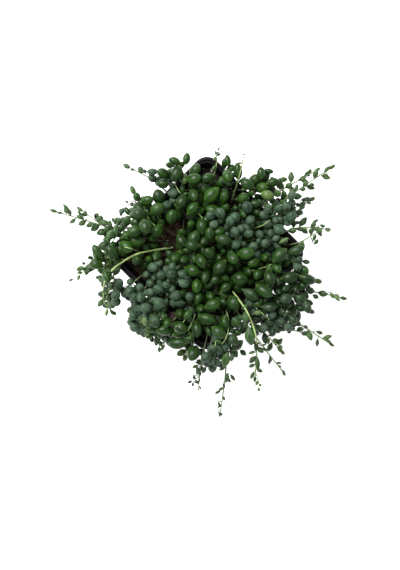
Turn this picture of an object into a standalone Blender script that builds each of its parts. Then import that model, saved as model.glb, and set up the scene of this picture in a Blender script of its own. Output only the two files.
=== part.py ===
"""String of pearls, a trailing succulent, growing in a square black nursery pot.

The pot stands on its flat base: +Z is up, the sides face X and Y, and the origin is the middle of the base.
Each string is one stem with its leaves. It stands in its own hole in the potting mix, runs over or through
the mound of leaves and, if it is long, passes over the lip and hangs. Lengths are in millimetres until a mesh
is finished, which turns it into metres.
"""

import math
import random

import bmesh
import bpy
import numpy as np
from mathutils import Matrix, Vector

MM = 0.001
GAP = 0.3

# Pot: a tapered square box with a turned-over lip
RIM_SIDE = 100.0
RIM_RADIUS = 8.5
POT_HEIGHT = 90.0
BASE_SIDE = 72.0
BASE_RADIUS = 7.0
WALL = 1.2
FLOOR = 2.0
LIP_WIDTH = 3.6
LIP_DEPTH = 9.0
LIP_STEP = 0.7
LIP_CURVE = 0.8
FOOT_CURVE = 1.0
CORNER_STEPS = 4
DRAIN_RADIUS = 3.6
DRAIN_SIDES = 6
SIDE_DRAIN_REACH = 24.0
CORNER_DRAIN_REACH = 29.0

# Potting mix
SOIL_DROP = 12.0
SOIL_CROWN = 4.0
SOIL_LUMP = 0.9
SOIL_RINGS = (0.8, 0.6, 0.4, 0.2)
SOIL_STEPS = 5
HOLE_RADIUS = 1.5
HOLE_DEPTH = 6.5
HOLE_SIDES = 4
HOLE_CUT = 8.0
CHIP_SIZE = (9.0, 5.0, 1.8)
CHIP_TILT = 0.2
CHIP_LIFT = 0.4

# Flakes of bark in the mix: plan position, size, and turn in degrees
CHIPS = (
    (-25, 15, 0.9, 20),
    (-20, 25, 0.7, 110),
    (-20, -34, 0.9, 60),
    (-1, -49, 0.8, 150),
    (47, -5, 0.8, 75),
    (10, 46, 0.6, 10),
    (-40, 2, 0.8, 95),
)

# Stems: their form, and how they keep clear of each other
STEM_RADIUS = 0.72
STEM_SIDES = 3
STEM_STEP = 2.6
STEM_SLACK = 0.45
STEM_CLEARANCE = 3.5
SETTLE_ROUNDS = 120
SETTLE_LAST = 30
SETTLE_LOOK = 9.0
SETTLE_EVERY = 10
SETTLE_MOVE = 1.0
STEM_STIFFNESS = 0.2

# Stems: out of the hole, up to the mound, and over the lip
ROOT_RISE = 2.5
CLIMB = 15.0
LIP_PASS = 2.4
LIP_CLEAR = 1.8
LIP_ZONE = (6.6, 2.0)
MIX_CLEAR = 1.6
DROOP = 1.7
LIFT = 1.2

# Leaves: spacing along the stem, its growth from root to tip, its unevenness, and how leaves keep clear
INTERNODE = 8.2
MOUND_INTERNODE = 3.6
SPACING_GROWTH = (0.78, 1.5)
SPACING_SWAY = 0.25
FIRST_LEAF = 3.5
LAST_LEAF = 1.5
LEAF_GAP = 0.35
LEAF_PRESS = 0.5
LEAF_TRIES = 18
LEAF_CHOICES = 6
SMALL_LEAF = 0.78
OWN_STEM_REACH = 7.0
GROWTH_SEED = 11

# Leaves that close the open places over the mound
FILL_LEAVES = 46
FILL_SPACING = 2.6
FILL_REACH = (3.5, 10.5)
FILL_LIFTS = (5.0, 9.0, 2.0)
FILL_MARGIN = 5.0
FILL_TRIES = 12

# The mound is highest here, this wide, in plan
MOUND_TOP = (7.0, -4.0)
MOUND_REACH = 52.0

# Rings of a leaf, as shares of its length and half its width, and the balls that wrap it, as shares of its
# length and width
LEAF_RINGS = ((0.29, 0.96), (0.64, 0.98))
LEAF_BALLS = ((0.18, 0.28), (0.42, 0.55), (0.62, 0.52), (0.85, 0.26))
LEAF_SIDES = {"plump": 5, "round": 5, "slim": 4, "tiny": 4}

# Kinds of leaf: length and width near the root, then at the tip of the string
LEAF_KINDS = {
    "plump": (12.3, 8.9, 7.6, 4.8),
    "round": (8.2, 6.9, 5.6, 4.0),
    "slim": (10.2, 6.3, 6.6, 3.4),
    "tiny": (5.6, 3.4, 3.8, 2.0),
}
LEAF_SPREAD = 0.18
SIZE_FALL = 1.7
LEAN_AT_ROOT = 74.0
LEAN_AT_TIP = 42.0
LEAN_SPREAD = 16.0
TURN = (-0.2, 1.4)

# Each string: name, kind of leaf, height of its run over the rim at the mound's top, height of its tip over
# the rim, and its course in plan from root to tip. The plan has one corner of the pot at the top of the page.
STRINGS = (
    ("west_spray", "slim", 7, 6, ((-39, 14), (-57, 14), (-70, 17), (-84, 23), (-103, 28))),
    ("west_twin", "slim", 6, 0, ((-43, 7), (-59, 10), (-68, 15), (-78, 22), (-86, 29))),
    ("west_arch", "slim", 14, -22, (
        (-24, 4), (-38, 3), (-53, -1), (-66, -8), (-71, -17), (-76, -29), (-74, -41), (-71, -47), (-67, -41),
    )),
    ("west_cluster", "plump", 6, -10, ((-32, -6), (-48, -6), (-63, -3), (-74, -3), (-79, -9), (-87, -10))),
    ("west_drop", "slim", 5, -26, ((-34, 19), (-50, 17), (-61, 19), (-70, 12), (-72, 2))),
    ("west_bunch", "plump", 6, 2, ((-28, 8), (-38, 9), (-48, 11), (-58, 13))),
    ("north_west_bunch", "plump", 8, 3, ((-17, 9), (-30, 18), (-41, 23), (-50, 31), (-50, 41))),
    ("north_west_low", "round", 6, -8, ((-28, 24), (-38, 32), (-46, 34), (-53, 37), (-58, 30))),
    ("north_west_spray", "round", 6, 2, ((-19, 31), (-26, 43), (-35, 52), (-43, 56), (-54, 59))),
    ("north_west_pair", "plump", 7, 6, ((-7, 39), (-12, 50), (-15, 55), (-19, 59))),
    ("north_hook", "tiny", 6, 4, ((3, 48), (6, 57), (10, 64), (12, 70), (10, 73), (6, 68))),
    ("north_leaf", "plump", 6, 3, ((14, 41), (12, 50), (12, 58))),
    ("north_wisp", "tiny", 8, 6, ((17, 36), (21, 50), (27, 57), (25, 66))),
    ("north_east_bunch", "plump", 8, -6, ((23, 32), (30, 45), (38, 53), (46, 56), (51, 51))),
    ("north_east_twig", "slim", 6, -4, ((29, 23), (42, 39), (52, 44), (61, 50), (75, 57))),
    ("north_east_spray", "slim", 8, 8, ((33, 18), (50, 35), (59, 41), (70, 48), (83, 57))),
    ("north_east_round", "round", 8, -3, ((38, 17), (49, 27), (59, 32), (72, 37))),
    ("east_round", "round", 8, -12, ((35, 10), (47, 21), (57, 27), (66, 32))),
    ("east_wisp", "slim", 6, -8, ((42, 8), (52, 17), (62, 20), (72, 21), (83, 17))),
    ("east_corner", "slim", 6, 8, ((48, 5), (58, 2), (66, 2), (71, 8), (75, 14))),
    ("east_rest", "round", 7, -4, ((30, -2), (43, -1), (55, -3), (67, -6))),
    ("south_east_big", "plump", 7, -8, ((35, -13), (49, -14), (63, -14), (76, -19))),
    ("south_east_long", "slim", 6, -12, ((33, -21), (50, -24), (66, -26), (81, -26), (94, -31))),
    ("south_east_short", "plump", 8, -14, ((24, -24), (45, -31), (59, -33), (72, -40))),
    ("south_east_spray", "slim", 6, -10, ((29, -25), (49, -40), (63, -48), (75, -56), (86, -63))),
    ("south_east_beads", "round", 8, -16, ((22, -32), (38, -45), (50, -52), (59, -56), (69, -56))),
    ("south_wisp", "slim", 6, -22, ((15, -34), (30, -45), (40, -54), (46, -62), (53, -69))),
    ("south_arch", "slim", 14, -14, ((18, -27), (28, -38), (34, -52), (36, -67), (34, -87))),
    ("south_twig", "tiny", 5, -30, ((20, -37), (29, -50), (36, -62), (41, -70), (51, -77), (56, -86))),
    ("south_long", "tiny", 7, -42, (
        (10, -32), (12, -50), (13, -66), (15, -82), (13, -93), (10, -103), (10, -117),
    )),
    ("south_hang", "tiny", 6, -38, ((1, -34), (1, -53), (-1, -68), (-6, -78), (-7, -89), (-6, -98))),
    ("south_tuft", "round", 8, -24, ((6, -39), (4, -56), (3, -71), (-1, -81), (-6, -84))),
    ("south_leaf", "plump", 6, -14, ((-7, -38), (-9, -53), (-12, -63), (-15, -72))),
    ("south_west_side", "plump", 6, -12, ((-12, -28), (-17, -42), (-21, -52), (-30, -56), (-38, -53))),
    ("south_west_tip", "slim", 6, -24, ((-21, -26), (-28, -37), (-34, -48), (-37, -57), (-34, -67))),
    ("south_west_fall", "round", 8, -22, ((-28, -21), (-38, -30), (-46, -39), (-50, -48), (-45, -57))),
    ("south_west_beads", "round", 6, -26, ((-34, -14), (-42, -23), (-50, -30), (-55, -40), (-52, -52))),
    ("south_west_twig", "round", 6, -10, ((-37, -9), (-47, -17), (-55, -26), (-66, -31))),
    ("south_west_veil", "round", 8, -28, ((-16, -19), (-27, -28), (-36, -36), (-42, -45), (-43, -53))),
)

# The strings of the mound itself, which stay within the lip, are laid out by a rule
MOUND_STRINGS = 18
MOUND_SPACING = 8.2
MOUND_LENGTH = (34.0, 48.0)
MOUND_HEIGHT = (6.0, 12.0)
MOUND_BEND = (0.27, 0.9)
MOUND_MARGIN = 7.0
MOUND_STEPS = 5
ROOT_SPACING = 4.6
ROOT_MARGIN = 12.0

# Parts of the mound where the leaves are of another kind: plan position, radius, kind
PATCHES = (
    (34, 14, 20.0, "round"),
    (-30, -26, 19.0, "round"),
    (-10, 32, 10.0, "round"),
)

# Places where the foliage opens and shows the mix or the lip: plan position and radius
CLEARINGS = (
    (-25, 15, 6.5),
    (-17, 23, 5.5),
    (-33, 9, 4.5),
    (8, 57, 5.5),
    (-1, 66, 5.5),
    (-14, 55, 4.0),
    (-27, 42, 3.5),
    (60, 8, 7.0),
    (54, -12, 4.0),
    (-62, 9, 4.0),
    (-52, -13, 6.0),
    (-44, -19, 4.0),
    (-3, -61, 6.5),
    (-24, -42, 4.5),
)


def clear_scene():
    """Removes what the scene starts with."""
    for obj in list(bpy.data.objects):
        bpy.data.objects.remove(obj, do_unlink=True)


def material(name, colour, roughness):
    """A plain non-metal finish."""
    made = bpy.data.materials.new(name)
    made.use_nodes = True
    shader = made.node_tree.nodes["Principled BSDF"]
    shader.inputs["Base Color"].default_value = (*colour, 1.0)
    shader.inputs["Roughness"].default_value = roughness
    shader.inputs["Metallic"].default_value = 0.0
    return made


def finished(bm, name, finish=None):
    """An object in metres from a mesh drawn in millimetres."""
    bmesh.ops.recalc_face_normals(bm, faces=bm.faces)
    if bm.calc_volume(signed=True) < 0:
        bmesh.ops.reverse_faces(bm, faces=bm.faces)
    bm.transform(Matrix.Scale(MM, 4))
    mesh = bpy.data.meshes.new(name)
    bm.to_mesh(mesh)
    bm.free()
    obj = bpy.data.objects.new(name, mesh)
    bpy.context.scene.collection.objects.link(obj)
    if finish:
        mesh.materials.append(finish)
    return obj


def combined(obj, tools, operation):
    """The object after one Boolean with all the tools, which are removed.

    The solver is the manifold one, because the exact one leaves the pot's floor open round the drain holes.
    """
    shelf = bpy.data.collections.new(obj.name + "_tools")
    bpy.context.scene.collection.children.link(shelf)
    for tool in tools:
        bpy.context.scene.collection.objects.unlink(tool)
        shelf.objects.link(tool)
    boolean = obj.modifiers.new("Boolean", "BOOLEAN")
    boolean.operation = operation
    boolean.operand_type = "COLLECTION"
    boolean.collection = shelf
    boolean.solver = "MANIFOLD"
    result = bpy.data.meshes.new_from_object(obj.evaluated_get(bpy.context.evaluated_depsgraph_get()))
    obj.modifiers.clear()
    obj.data = result
    for tool in tools:
        bpy.data.objects.remove(tool, do_unlink=True)
    bpy.data.collections.remove(shelf)
    return obj


def turned(points):
    """Plan positions in the pot's own axes: a corner at the top of the page becomes the corner at +X, +Y."""
    plan = np.array(points, float)
    return np.column_stack([plan[:, 0] + plan[:, 1], plan[:, 1] - plan[:, 0]]) * math.sqrt(0.5)


def heading_vector(angle):
    """A level unit vector at an angle from +X."""
    return np.array([math.cos(angle), math.sin(angle)])


def spiral(centre, spacing, number):
    """A place of an even spiral round a centre."""
    return centre + spacing * math.sqrt(number) * heading_vector(number * math.pi * (3 - math.sqrt(5)))


def outside(places, side, radius):
    """How far each place lies outside a rounded square round the origin, negative inside it."""
    past = np.abs(places[..., :2]) - (np.asarray(side)[..., None] / 2 - radius)
    return np.linalg.norm(np.maximum(past, 0), axis=-1) + np.minimum(past.max(axis=-1), 0) - radius


def wall_side(height):
    """The width of the pot's inside at a height over its base."""
    top = RIM_SIDE - 2 * LIP_WIDTH
    foot = BASE_SIDE - 2 * WALL
    return foot + (top - foot) * np.clip((height - FLOOR) / (POT_HEIGHT - FLOOR), 0, 1)


def soil_height(places):
    """The height of the potting mix: a low crown with lumps."""
    x, y = places[..., 0], places[..., 1]
    reach = np.clip(np.maximum(np.abs(x), np.abs(y)) / (RIM_SIDE / 2), 0, 1)
    lumps = np.sin(x * 0.16 + 1.2) * np.cos(y * 0.14 - 0.4) + 0.6 * np.sin(x * 0.09 - y * 0.11)
    return POT_HEIGHT - SOIL_DROP + SOIL_CROWN * (1 - reach) + SOIL_LUMP * lumps


def pot_distance(points):
    """How far points are from the pot's wall and lip, roughly, and zero inside them."""
    height = points[..., 2]
    inner = outside(points, wall_side(height), RIM_RADIUS)
    lip = height > POT_HEIGHT - LIP_DEPTH
    outer = outside(points, np.where(lip, RIM_SIDE, wall_side(height) + 2 * WALL), RIM_RADIUS)
    beside = np.maximum(np.maximum(-inner, outer), 0)
    above = np.maximum(height - POT_HEIGHT, 0)
    return np.hypot(beside, above)


def smooth_curve(points, step):
    """Points about a step apart along a smooth curve through the given ones."""
    ends = np.array([2 * points[0] - points[1], *points, 2 * points[-1] - points[-2]])
    curve = []
    for a, b, c, d in zip(ends, ends[1:], ends[2:], ends[3:]):
        for t in np.linspace(0, 1, 20, endpoint=False):
            bend = (2 * a - 5 * b + 4 * c - d) * t * t + (3 * b - a - 3 * c + d) * t**3
            curve.append((2 * b + (c - a) * t + bend) / 2)
    curve = np.array([*curve, ends[-2]])
    along = np.concatenate([[0], np.cumsum(np.linalg.norm(np.diff(curve, axis=0), axis=1))])
    stops = np.linspace(0, along[-1], max(3, round(along[-1] / step)) + 1)
    return np.column_stack([np.interp(stops, along, curve[:, i]) for i in range(curve.shape[1])])


def ease(x):
    """A smooth step from 0 to 1."""
    x = np.clip(x, 0, 1)
    return x * x * (3 - 2 * x)


def patch_kind(course):
    """The kind of leaf on a string of the mound."""
    middle = course[len(course) // 2]
    for u, v, size, kind in PATCHES:
        if np.linalg.norm(middle - turned([(u, v)])[0]) < size:
            return kind
    return "plump"


def mound_courses(taken):
    """Courses of the mound's own strings: roots on a spiral, each course an arc that stays within the lip."""
    draw = random.Random(GROWTH_SEED)
    courses = []
    centre = turned([MOUND_TOP])[0] / 2
    number = 0
    while len(courses) < MOUND_STRINGS:
        number += 1
        root = spiral(centre, MOUND_SPACING, number)
        heading = draw.uniform(0, 2 * math.pi)
        bend = draw.choice((-1, 1)) * draw.uniform(*MOUND_BEND)
        stride = draw.uniform(*MOUND_LENGTH) / MOUND_STEPS
        height = draw.uniform(*MOUND_HEIGHT)
        while min(np.linalg.norm(root - other) for other in taken) < ROOT_SPACING:
            root = root + heading_vector(heading)
        if outside(root, RIM_SIDE, RIM_RADIUS) > -ROOT_MARGIN:
            continue
        taken.append(root)
        course = mound_course(root, heading, bend, stride)
        courses.append((f"mound_{len(courses) + 1:02d}", patch_kind(course), height, None, course))
    return courses


def mound_course(root, heading, bend, stride):
    """An arc from a root, which turns away from the lip where it would reach it."""
    course = [root]
    for _ in range(MOUND_STEPS):
        ahead = course[-1] + stride * heading_vector(heading)
        while outside(ahead, RIM_SIDE, RIM_RADIUS) > -MOUND_MARGIN:
            heading += math.copysign(0.25, bend)
            ahead = course[-1] + stride * heading_vector(heading)
        course.append(ahead)
        heading += bend / MOUND_STEPS
    return np.array(course)


def raised_course(height, tip, course):
    """A string's course in space: up out of its hole, over the mound, over the lip and down to its tip."""
    plan = smooth_curve(course, STEM_STEP)
    root = np.array([*plan[0], soil_height(plan[:1])[0]])
    along = np.arange(len(plan)) * STEM_STEP
    beyond = outside(plan, RIM_SIDE, RIM_RADIUS)
    middle = turned([MOUND_TOP])[0]
    swell = 1 - ease(np.linalg.norm(plan - middle, axis=1) / MOUND_REACH)
    level = LIP_PASS + (height - LIP_PASS) * swell + POT_HEIGHT
    rise = ease((along + STEM_STEP) / CLIMB)
    heights = root[2] + ROOT_RISE + (level - root[2] - ROOT_RISE) * rise
    if tip is not None and beyond[-1] > 0:
        first = int(np.argmax(beyond > 0))
        share = np.clip((along - along[first]) / max(along[-1] - along[first], STEM_STEP), 0, 1)
        heights = heights + (POT_HEIGHT + tip - heights) * share ** (DROOP if tip < 0 else LIFT)
    foot = [root + (0, 0, GAP - HOLE_DEPTH), root + (0, 0, ROOT_RISE)]
    return np.vstack([foot, np.column_stack([plan, heights])[1:]])


def near_pairs(points, owner):
    """Pairs of points of different strings that lie near each other."""
    apart = np.linalg.norm(points[:, None] - points[None, :], axis=2)
    return np.nonzero(np.triu((owner[:, None] != owner[None, :]) & (apart < SETTLE_LOOK)))


def settle(routes):
    """Moves the strings' points until crossing stems pass over each other and clear the lip and the mix."""
    points = np.vstack(routes)
    owner = np.repeat(np.arange(len(routes)), [len(r) for r in routes])
    order = np.concatenate([np.arange(len(r)) for r in routes])
    last = np.array([len(r) - 1 for r in routes])[owner]
    free = order > 1
    inner = free & (order < last)
    for turn in range(SETTLE_ROUNDS):
        if turn % SETTLE_EVERY == 0:
            first, second = near_pairs(points, owner)
        away = points[first] - points[second]
        distance = np.linalg.norm(away, axis=1)
        # Stems that meet part mostly up and down, so that one passes over the other
        away[:, 2] = np.where(np.abs(away[:, 2]) < 0.3, -0.3, away[:, 2]) * 2
        away[:, :2] *= 0.6
        away /= np.linalg.norm(away, axis=1)[:, None]
        push = away * (np.maximum(STEM_CLEARANCE - distance, 0) * 0.5)[:, None]
        moves = np.zeros_like(points)
        np.add.at(moves, first, push)
        np.add.at(moves, second, -push)
        points[free] += np.clip(moves[free], -SETTLE_MOVE, SETTLE_MOVE)
        if turn < SETTLE_ROUNDS - SETTLE_LAST:
            ahead = np.roll(points, -1, axis=0)
            behind = np.roll(points, 1, axis=0)
            points[inner] += STEM_STIFFNESS * (ahead[inner] + behind[inner] - 2 * points[inner])
        keep_clear(points, free)
    settled = np.split(np.round(points, 3), np.cumsum([len(r) for r in routes])[:-1])
    return [thinned(route) for route in settled]


def thinned(route):
    """A route without the points that lie nearly in line with their neighbours."""
    ends = route[-1] - route[0]
    along = np.clip((route - route[0]) @ ends / (ends @ ends), 0, 1)
    off = np.linalg.norm(route - route[0] - along[:, None] * ends, axis=1)
    widest = int(off.argmax())
    if off[widest] < STEM_SLACK:
        return route[[0, -1]]
    return np.vstack([thinned(route[: widest + 1])[:-1], thinned(route[widest:])])


def keep_clear(points, free):
    """Lifts points off the lip and the mix."""
    edge = outside(points, RIM_SIDE, RIM_RADIUS)
    over = free & (edge > -LIP_ZONE[0]) & (edge < LIP_ZONE[1])
    points[over, 2] = np.maximum(points[over, 2], POT_HEIGHT + LIP_CLEAR)
    within = free & (edge <= -LIP_ZONE[0])
    points[within, 2] = np.maximum(points[within, 2], soil_height(points[within]) + MIX_CLEAR)


def leaf_balls(base, along, length, width):
    """Balls that wrap a leaf, as rows of centre and radius."""
    return np.array([[*(base + along * length * at), width * size] for at, size in LEAF_BALLS])


def is_clear(balls, leaves, stems):
    """Whether a leaf's balls clear the leaves and stems so far, the pot and the mix."""
    centres, radii = balls[:, :3], balls[:, 3]
    if (pot_distance(centres) < radii + LEAF_GAP).any():
        return False
    within = outside(centres, RIM_SIDE, RIM_RADIUS) < 0
    if (within & (centres[:, 2] - radii < soil_height(centres) + LEAF_GAP)).any():
        return False
    for others in (leaves, stems):
        if len(others):
            apart = np.linalg.norm(centres[:, None] - others[None, :, :3], axis=2)
            if (apart < radii[:, None] + others[None, :, 3] + LEAF_GAP).any():
                return False
    return True


def in_clearing(point, middles):
    """Whether a point lies over one of the clearings."""
    return any(np.linalg.norm(point[:2] - middle) < size for middle, size in middles)


def stem_balls(route):
    """Balls along a stem, as rows of centre and radius."""
    parts = []
    for a, b in zip(route, route[1:]):
        parts.append(np.linspace(a, b, math.ceil(np.linalg.norm(b - a) / STEM_RADIUS / 1.5), endpoint=False))
    line = np.vstack([*parts, route[-1:]])
    return np.column_stack([line, np.full(len(line), STEM_RADIUS)])


def leaf_stations(route, spacing):
    """Where leaves sit on a stem: (point, tangent, share of the way to the tip), root to tip."""
    along = np.concatenate([[0], np.cumsum(np.linalg.norm(np.diff(route, axis=0), axis=1))])

    def place(distance):
        return np.array([np.interp(distance, along, route[:, i]) for i in range(3)])

    stop = along[1] + FIRST_LEAF
    while stop < along[-1] - LAST_LEAF:
        tangent = place(stop + LAST_LEAF) - place(stop - LAST_LEAF)
        share = stop / along[-1]
        yield place(stop), tangent / np.linalg.norm(tangent), share
        growth = SPACING_GROWTH[0] + (SPACING_GROWTH[1] - SPACING_GROWTH[0]) * share
        stop += spacing * growth * (1 + SPACING_SWAY * math.sin(stop))


def leaf_direction(tangent, turn, lean):
    """A direction leaning from the stem's tangent, turned round the stem from straight up."""
    side = np.cross(tangent, (0, 0, 1))
    side = side / np.linalg.norm(side) if np.linalg.norm(side) > 0.1 else np.array([1.0, 0, 0])
    up = np.cross(side, tangent)
    outward = math.cos(turn) * up + math.sin(turn) * side
    return math.cos(lean) * tangent + math.sin(lean) * outward


def tip_leaf(route, kind, size):
    """The leaf that ends a string, in line with it."""
    _, _, length, width = LEAF_KINDS[kind]
    ahead = (route[-1] - route[-2]) / np.linalg.norm(route[-1] - route[-2])
    return route[-1] - ahead, ahead, length * size, width * size


def best_leaf(station, kind, side, draw, leaves, stems, openings):
    """Of the leaves tried at a station, the clear one that lies furthest from the others."""
    point, tangent, share = station
    length, width, tip_length, tip_width = LEAF_KINDS[kind]
    lean = LEAN_AT_ROOT + (LEAN_AT_TIP - LEAN_AT_ROOT) * share
    fall = share**SIZE_FALL
    found = []
    for attempt in range(LEAF_TRIES):
        late = attempt / LEAF_TRIES
        turn = side * draw.uniform(TURN[0], TURN[1] * (1 + late))
        tilt = math.radians(lean + draw.uniform(-LEAN_SPREAD, LEAN_SPREAD))
        size = draw.uniform(1 - LEAF_SPREAD, 1 + LEAF_SPREAD) * (SMALL_LEAF if late > 0.5 else 1)
        long = (length + (tip_length - length) * fall) * size
        wide = (width + (tip_width - width) * fall) * size
        leaf = (point, leaf_direction(tangent, turn, tilt), long, wide)
        balls = leaf_balls(*leaf)
        if not in_clearing(balls[2], openings) and is_clear(balls, leaves, stems):
            room = np.linalg.norm(leaves[:, :3] - balls[1, :3], axis=1).min()
            found.append((room, attempt, leaf))
        if len(found) == LEAF_CHOICES:
            break
    return max(found)[2] if found else None


def pressed(placed, number):
    """The leaves so far, with those of one string a little smaller, as they may press into each other."""
    return np.column_stack([placed[:, :3], placed[:, 3] - (LEAF_GAP + LEAF_PRESS) * (placed[:, 4] == number)])


def labelled(balls, number):
    """Balls with the number of their string in a last column."""
    return np.column_stack([balls, np.full(len(balls), number)])


def leafed(routes, kinds, spacings):
    """The leaves of every string, as lists of (base, direction, length, width)."""
    draw = random.Random(GROWTH_SEED + 1)
    openings = [(turned([(u, v)])[0], size) for u, v, size in CLEARINGS]
    stems = np.vstack([labelled(stem_balls(route), number) for number, route in enumerate(routes)])
    placed = np.zeros((0, 5))
    plants = [[] for _ in routes]
    for number, (route, kind) in enumerate(zip(routes, kinds)):
        leaf = tip_leaf(route, kind, draw.uniform(1 - LEAF_SPREAD, 1))
        balls = leaf_balls(*leaf)
        if is_clear(balls, placed, stems[stems[:, 4] != number]):
            plants[number].append(leaf)
            placed = np.vstack([placed, labelled(balls, number)])
    for number, (route, kind) in enumerate(zip(routes, kinds)):
        for count, station in enumerate(leaf_stations(route, spacings[number])):
            if in_clearing(station[0], openings):
                continue
            side = -1 if count % 2 else 1
            around = obstacles(stems, station[0], number)
            leaf = best_leaf(station, kind, side, draw, pressed(placed, number), around, openings)
            if leaf:
                plants[number].append(leaf)
                placed = np.vstack([placed, labelled(leaf_balls(*leaf), number)])
    fill_mound(kinds, stems, plants, placed, openings, draw)
    return plants


def obstacles(stems, base, number):
    """The stems' balls that a leaf must clear: all but those of its own stem near its base."""
    return stems[(stems[:, 4] != number) | (np.linalg.norm(stems[:, :3] - base, axis=1) > OWN_STEM_REACH)]


def open_places(openings):
    """Plan positions over the mound, from its top outwards, but for the clearings."""
    top = turned([MOUND_TOP])[0]
    for number in range(int((RIM_SIDE / FILL_SPACING) ** 2)):
        place = spiral(top, FILL_SPACING, number)
        if outside(place, RIM_SIDE, RIM_RADIUS) < -FILL_MARGIN and not in_clearing(place, openings):
            yield place


def fill_mound(kinds, stems, plants, placed, openings, draw):
    """Adds a leaf over each open place of the mound, on a stem near it, while the count lasts."""
    count = 0
    for place in open_places(openings):
        covered = np.linalg.norm(placed[:, :2] - place, axis=1) < placed[:, 3]
        if count == FILL_LEAVES or covered.any():
            continue
        away = np.linalg.norm(stems[:, :2] - place, axis=1)
        near = stems[(away > FILL_REACH[0]) & (away < FILL_REACH[1]) & (stems[:, 2] > POT_HEIGHT)]
        near = near[np.argsort(-near[:, 2], kind="stable")]
        for ball in near[:: max(1, len(near) // FILL_TRIES)]:
            number = int(ball[4])
            leaf = fill_leaf(ball[:3], place, kinds[number], draw)
            balls = leaf_balls(*leaf)
            if is_clear(balls, pressed(placed, number), obstacles(stems, ball[:3], number)):
                plants[number].append(leaf)
                placed = np.vstack([placed, labelled(balls, number)])
                count += 1
                break


def fill_leaf(base, place, kind, draw):
    """A leaf from a point on a stem, out over a place."""
    length, width, _, _ = LEAF_KINDS[kind]
    size = draw.uniform(1 - LEAF_SPREAD, 1)
    direction = np.array([*(place - base[:2]), draw.choice(FILL_LIFTS)])
    return base, direction / np.linalg.norm(direction), length * size, width * size


def grown():
    """Every string as (name, kind, route, leaves)."""
    outer = [(name, kind, height, tip, turned(course)) for name, kind, height, tip, course in STRINGS]
    every = outer + mound_courses([course[0] for *_, course in outer])
    routes = settle([raised_course(height, tip, course) for _, _, height, tip, course in every])
    names = [name for name, *_ in every]
    kinds = [kind for _, kind, *_ in every]
    spacings = [MOUND_INTERNODE if tip is None else INTERNODE for _, _, _, tip, _ in every]
    return list(zip(names, kinds, routes, leafed(routes, kinds, spacings)))


def skinned(bm, rings):
    """Faces from ring to ring of vertices, with a flat face at either end."""
    for lower, upper in zip(rings, rings[1:]):
        for i in range(len(lower)):
            bm.faces.new((lower[i - 1], lower[i], upper[i], upper[i - 1]))
    bm.faces.new(rings[0])
    bm.faces.new(rings[-1])


def stem_object(name, route, finish):
    """A stem: a slim prism that follows the route, with closed ends."""
    bm = bmesh.new()
    rings = []
    across = Vector((1, 0, 0))
    for i, point in enumerate(route):
        ahead = Vector(route[min(i + 1, len(route) - 1)] - route[max(i - 1, 0)]).normalized()
        across = (across - ahead * across.dot(ahead)).normalized()
        turn = Matrix((across, ahead.cross(across), ahead)).transposed().to_4x4()
        place = Matrix.Translation(Vector(point)) @ turn
        ring = bmesh.ops.create_circle(bm, segments=STEM_SIDES, radius=STEM_RADIUS, matrix=place)
        rings.append(ring["verts"])
    skinned(bm, rings)
    return finished(bm, name, finish)


def leaf_object(sides, base, direction, length, width):
    """A leaf: a lemon shape with a pointed tip, its base sunk in the stem."""
    bm = bmesh.new()
    bmesh.ops.create_uvsphere(bm, u_segments=sides, v_segments=len(LEAF_RINGS) + 1, radius=1.0)
    for vert in bm.verts:
        if abs(vert.co.z) > 0.9:
            vert.co = (0, 0, max(vert.co.z, 0) * length)
        else:
            at, share = LEAF_RINGS[vert.co.z > 0]
            round_stem = vert.co.xy.normalized() * width / 2 * share
            vert.co = (*round_stem, length * at)
    turn = Vector((0, 0, 1)).rotation_difference(Vector(direction)).to_matrix().to_4x4()
    bm.transform(Matrix.Translation(Vector(base)) @ turn)
    return finished(bm, "leaf")


def string_object(name, kind, route, leaves, finish):
    """A string: its stem and leaves as one body."""
    stem = stem_object(name, route, finish)
    return combined(stem, [leaf_object(LEAF_SIDES[kind], *leaf) for leaf in leaves], "UNION")


def rounded_ring(bm, side, radius, height, side_steps=1):
    """A level ring of vertices round a square with rounded corners."""
    corners = []
    for corner in range(4):
        start = math.pi / 2 * corner
        middle = (side / 2 - radius) * math.sqrt(2) * heading_vector(start + math.pi / 4)
        for i in range(CORNER_STEPS + 1):
            corners.append(middle + radius * heading_vector(start + math.pi / 2 * i / CORNER_STEPS))
    verts = []
    for i, place in enumerate(corners):
        verts.append(bm.verts.new((*place, height)))
        if i % (CORNER_STEPS + 1) == CORNER_STEPS:
            ahead = corners[(i + 1) % len(corners)] - place
            for step in range(1, side_steps):
                verts.append(bm.verts.new((*(place + ahead * step / side_steps), height)))
    return verts


def lofted(name, profile, finish):
    """A closed body through level rounded squares, each (side, corner radius, height), flat at both ends."""
    bm = bmesh.new()
    skinned(bm, [rounded_ring(bm, *level) for level in profile])
    return finished(bm, name, finish)


def drain_cutters():
    """Plugs for the drain holes: one in each corner of the floor and one by each side."""
    cutters = []
    for i in range(8):
        reach = CORNER_DRAIN_REACH if i % 2 else SIDE_DRAIN_REACH
        place = Matrix.Rotation(math.pi / 4 * i, 4, "Z") @ Matrix.Translation((reach, 0, FLOOR / 2))
        bm = bmesh.new()
        bmesh.ops.create_cone(
            bm, cap_ends=True, segments=DRAIN_SIDES, radius1=DRAIN_RADIUS, radius2=DRAIN_RADIUS,
            depth=4 * FLOOR, matrix=place,
        )
        cutters.append(finished(bm, "drain"))
    return cutters


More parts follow.
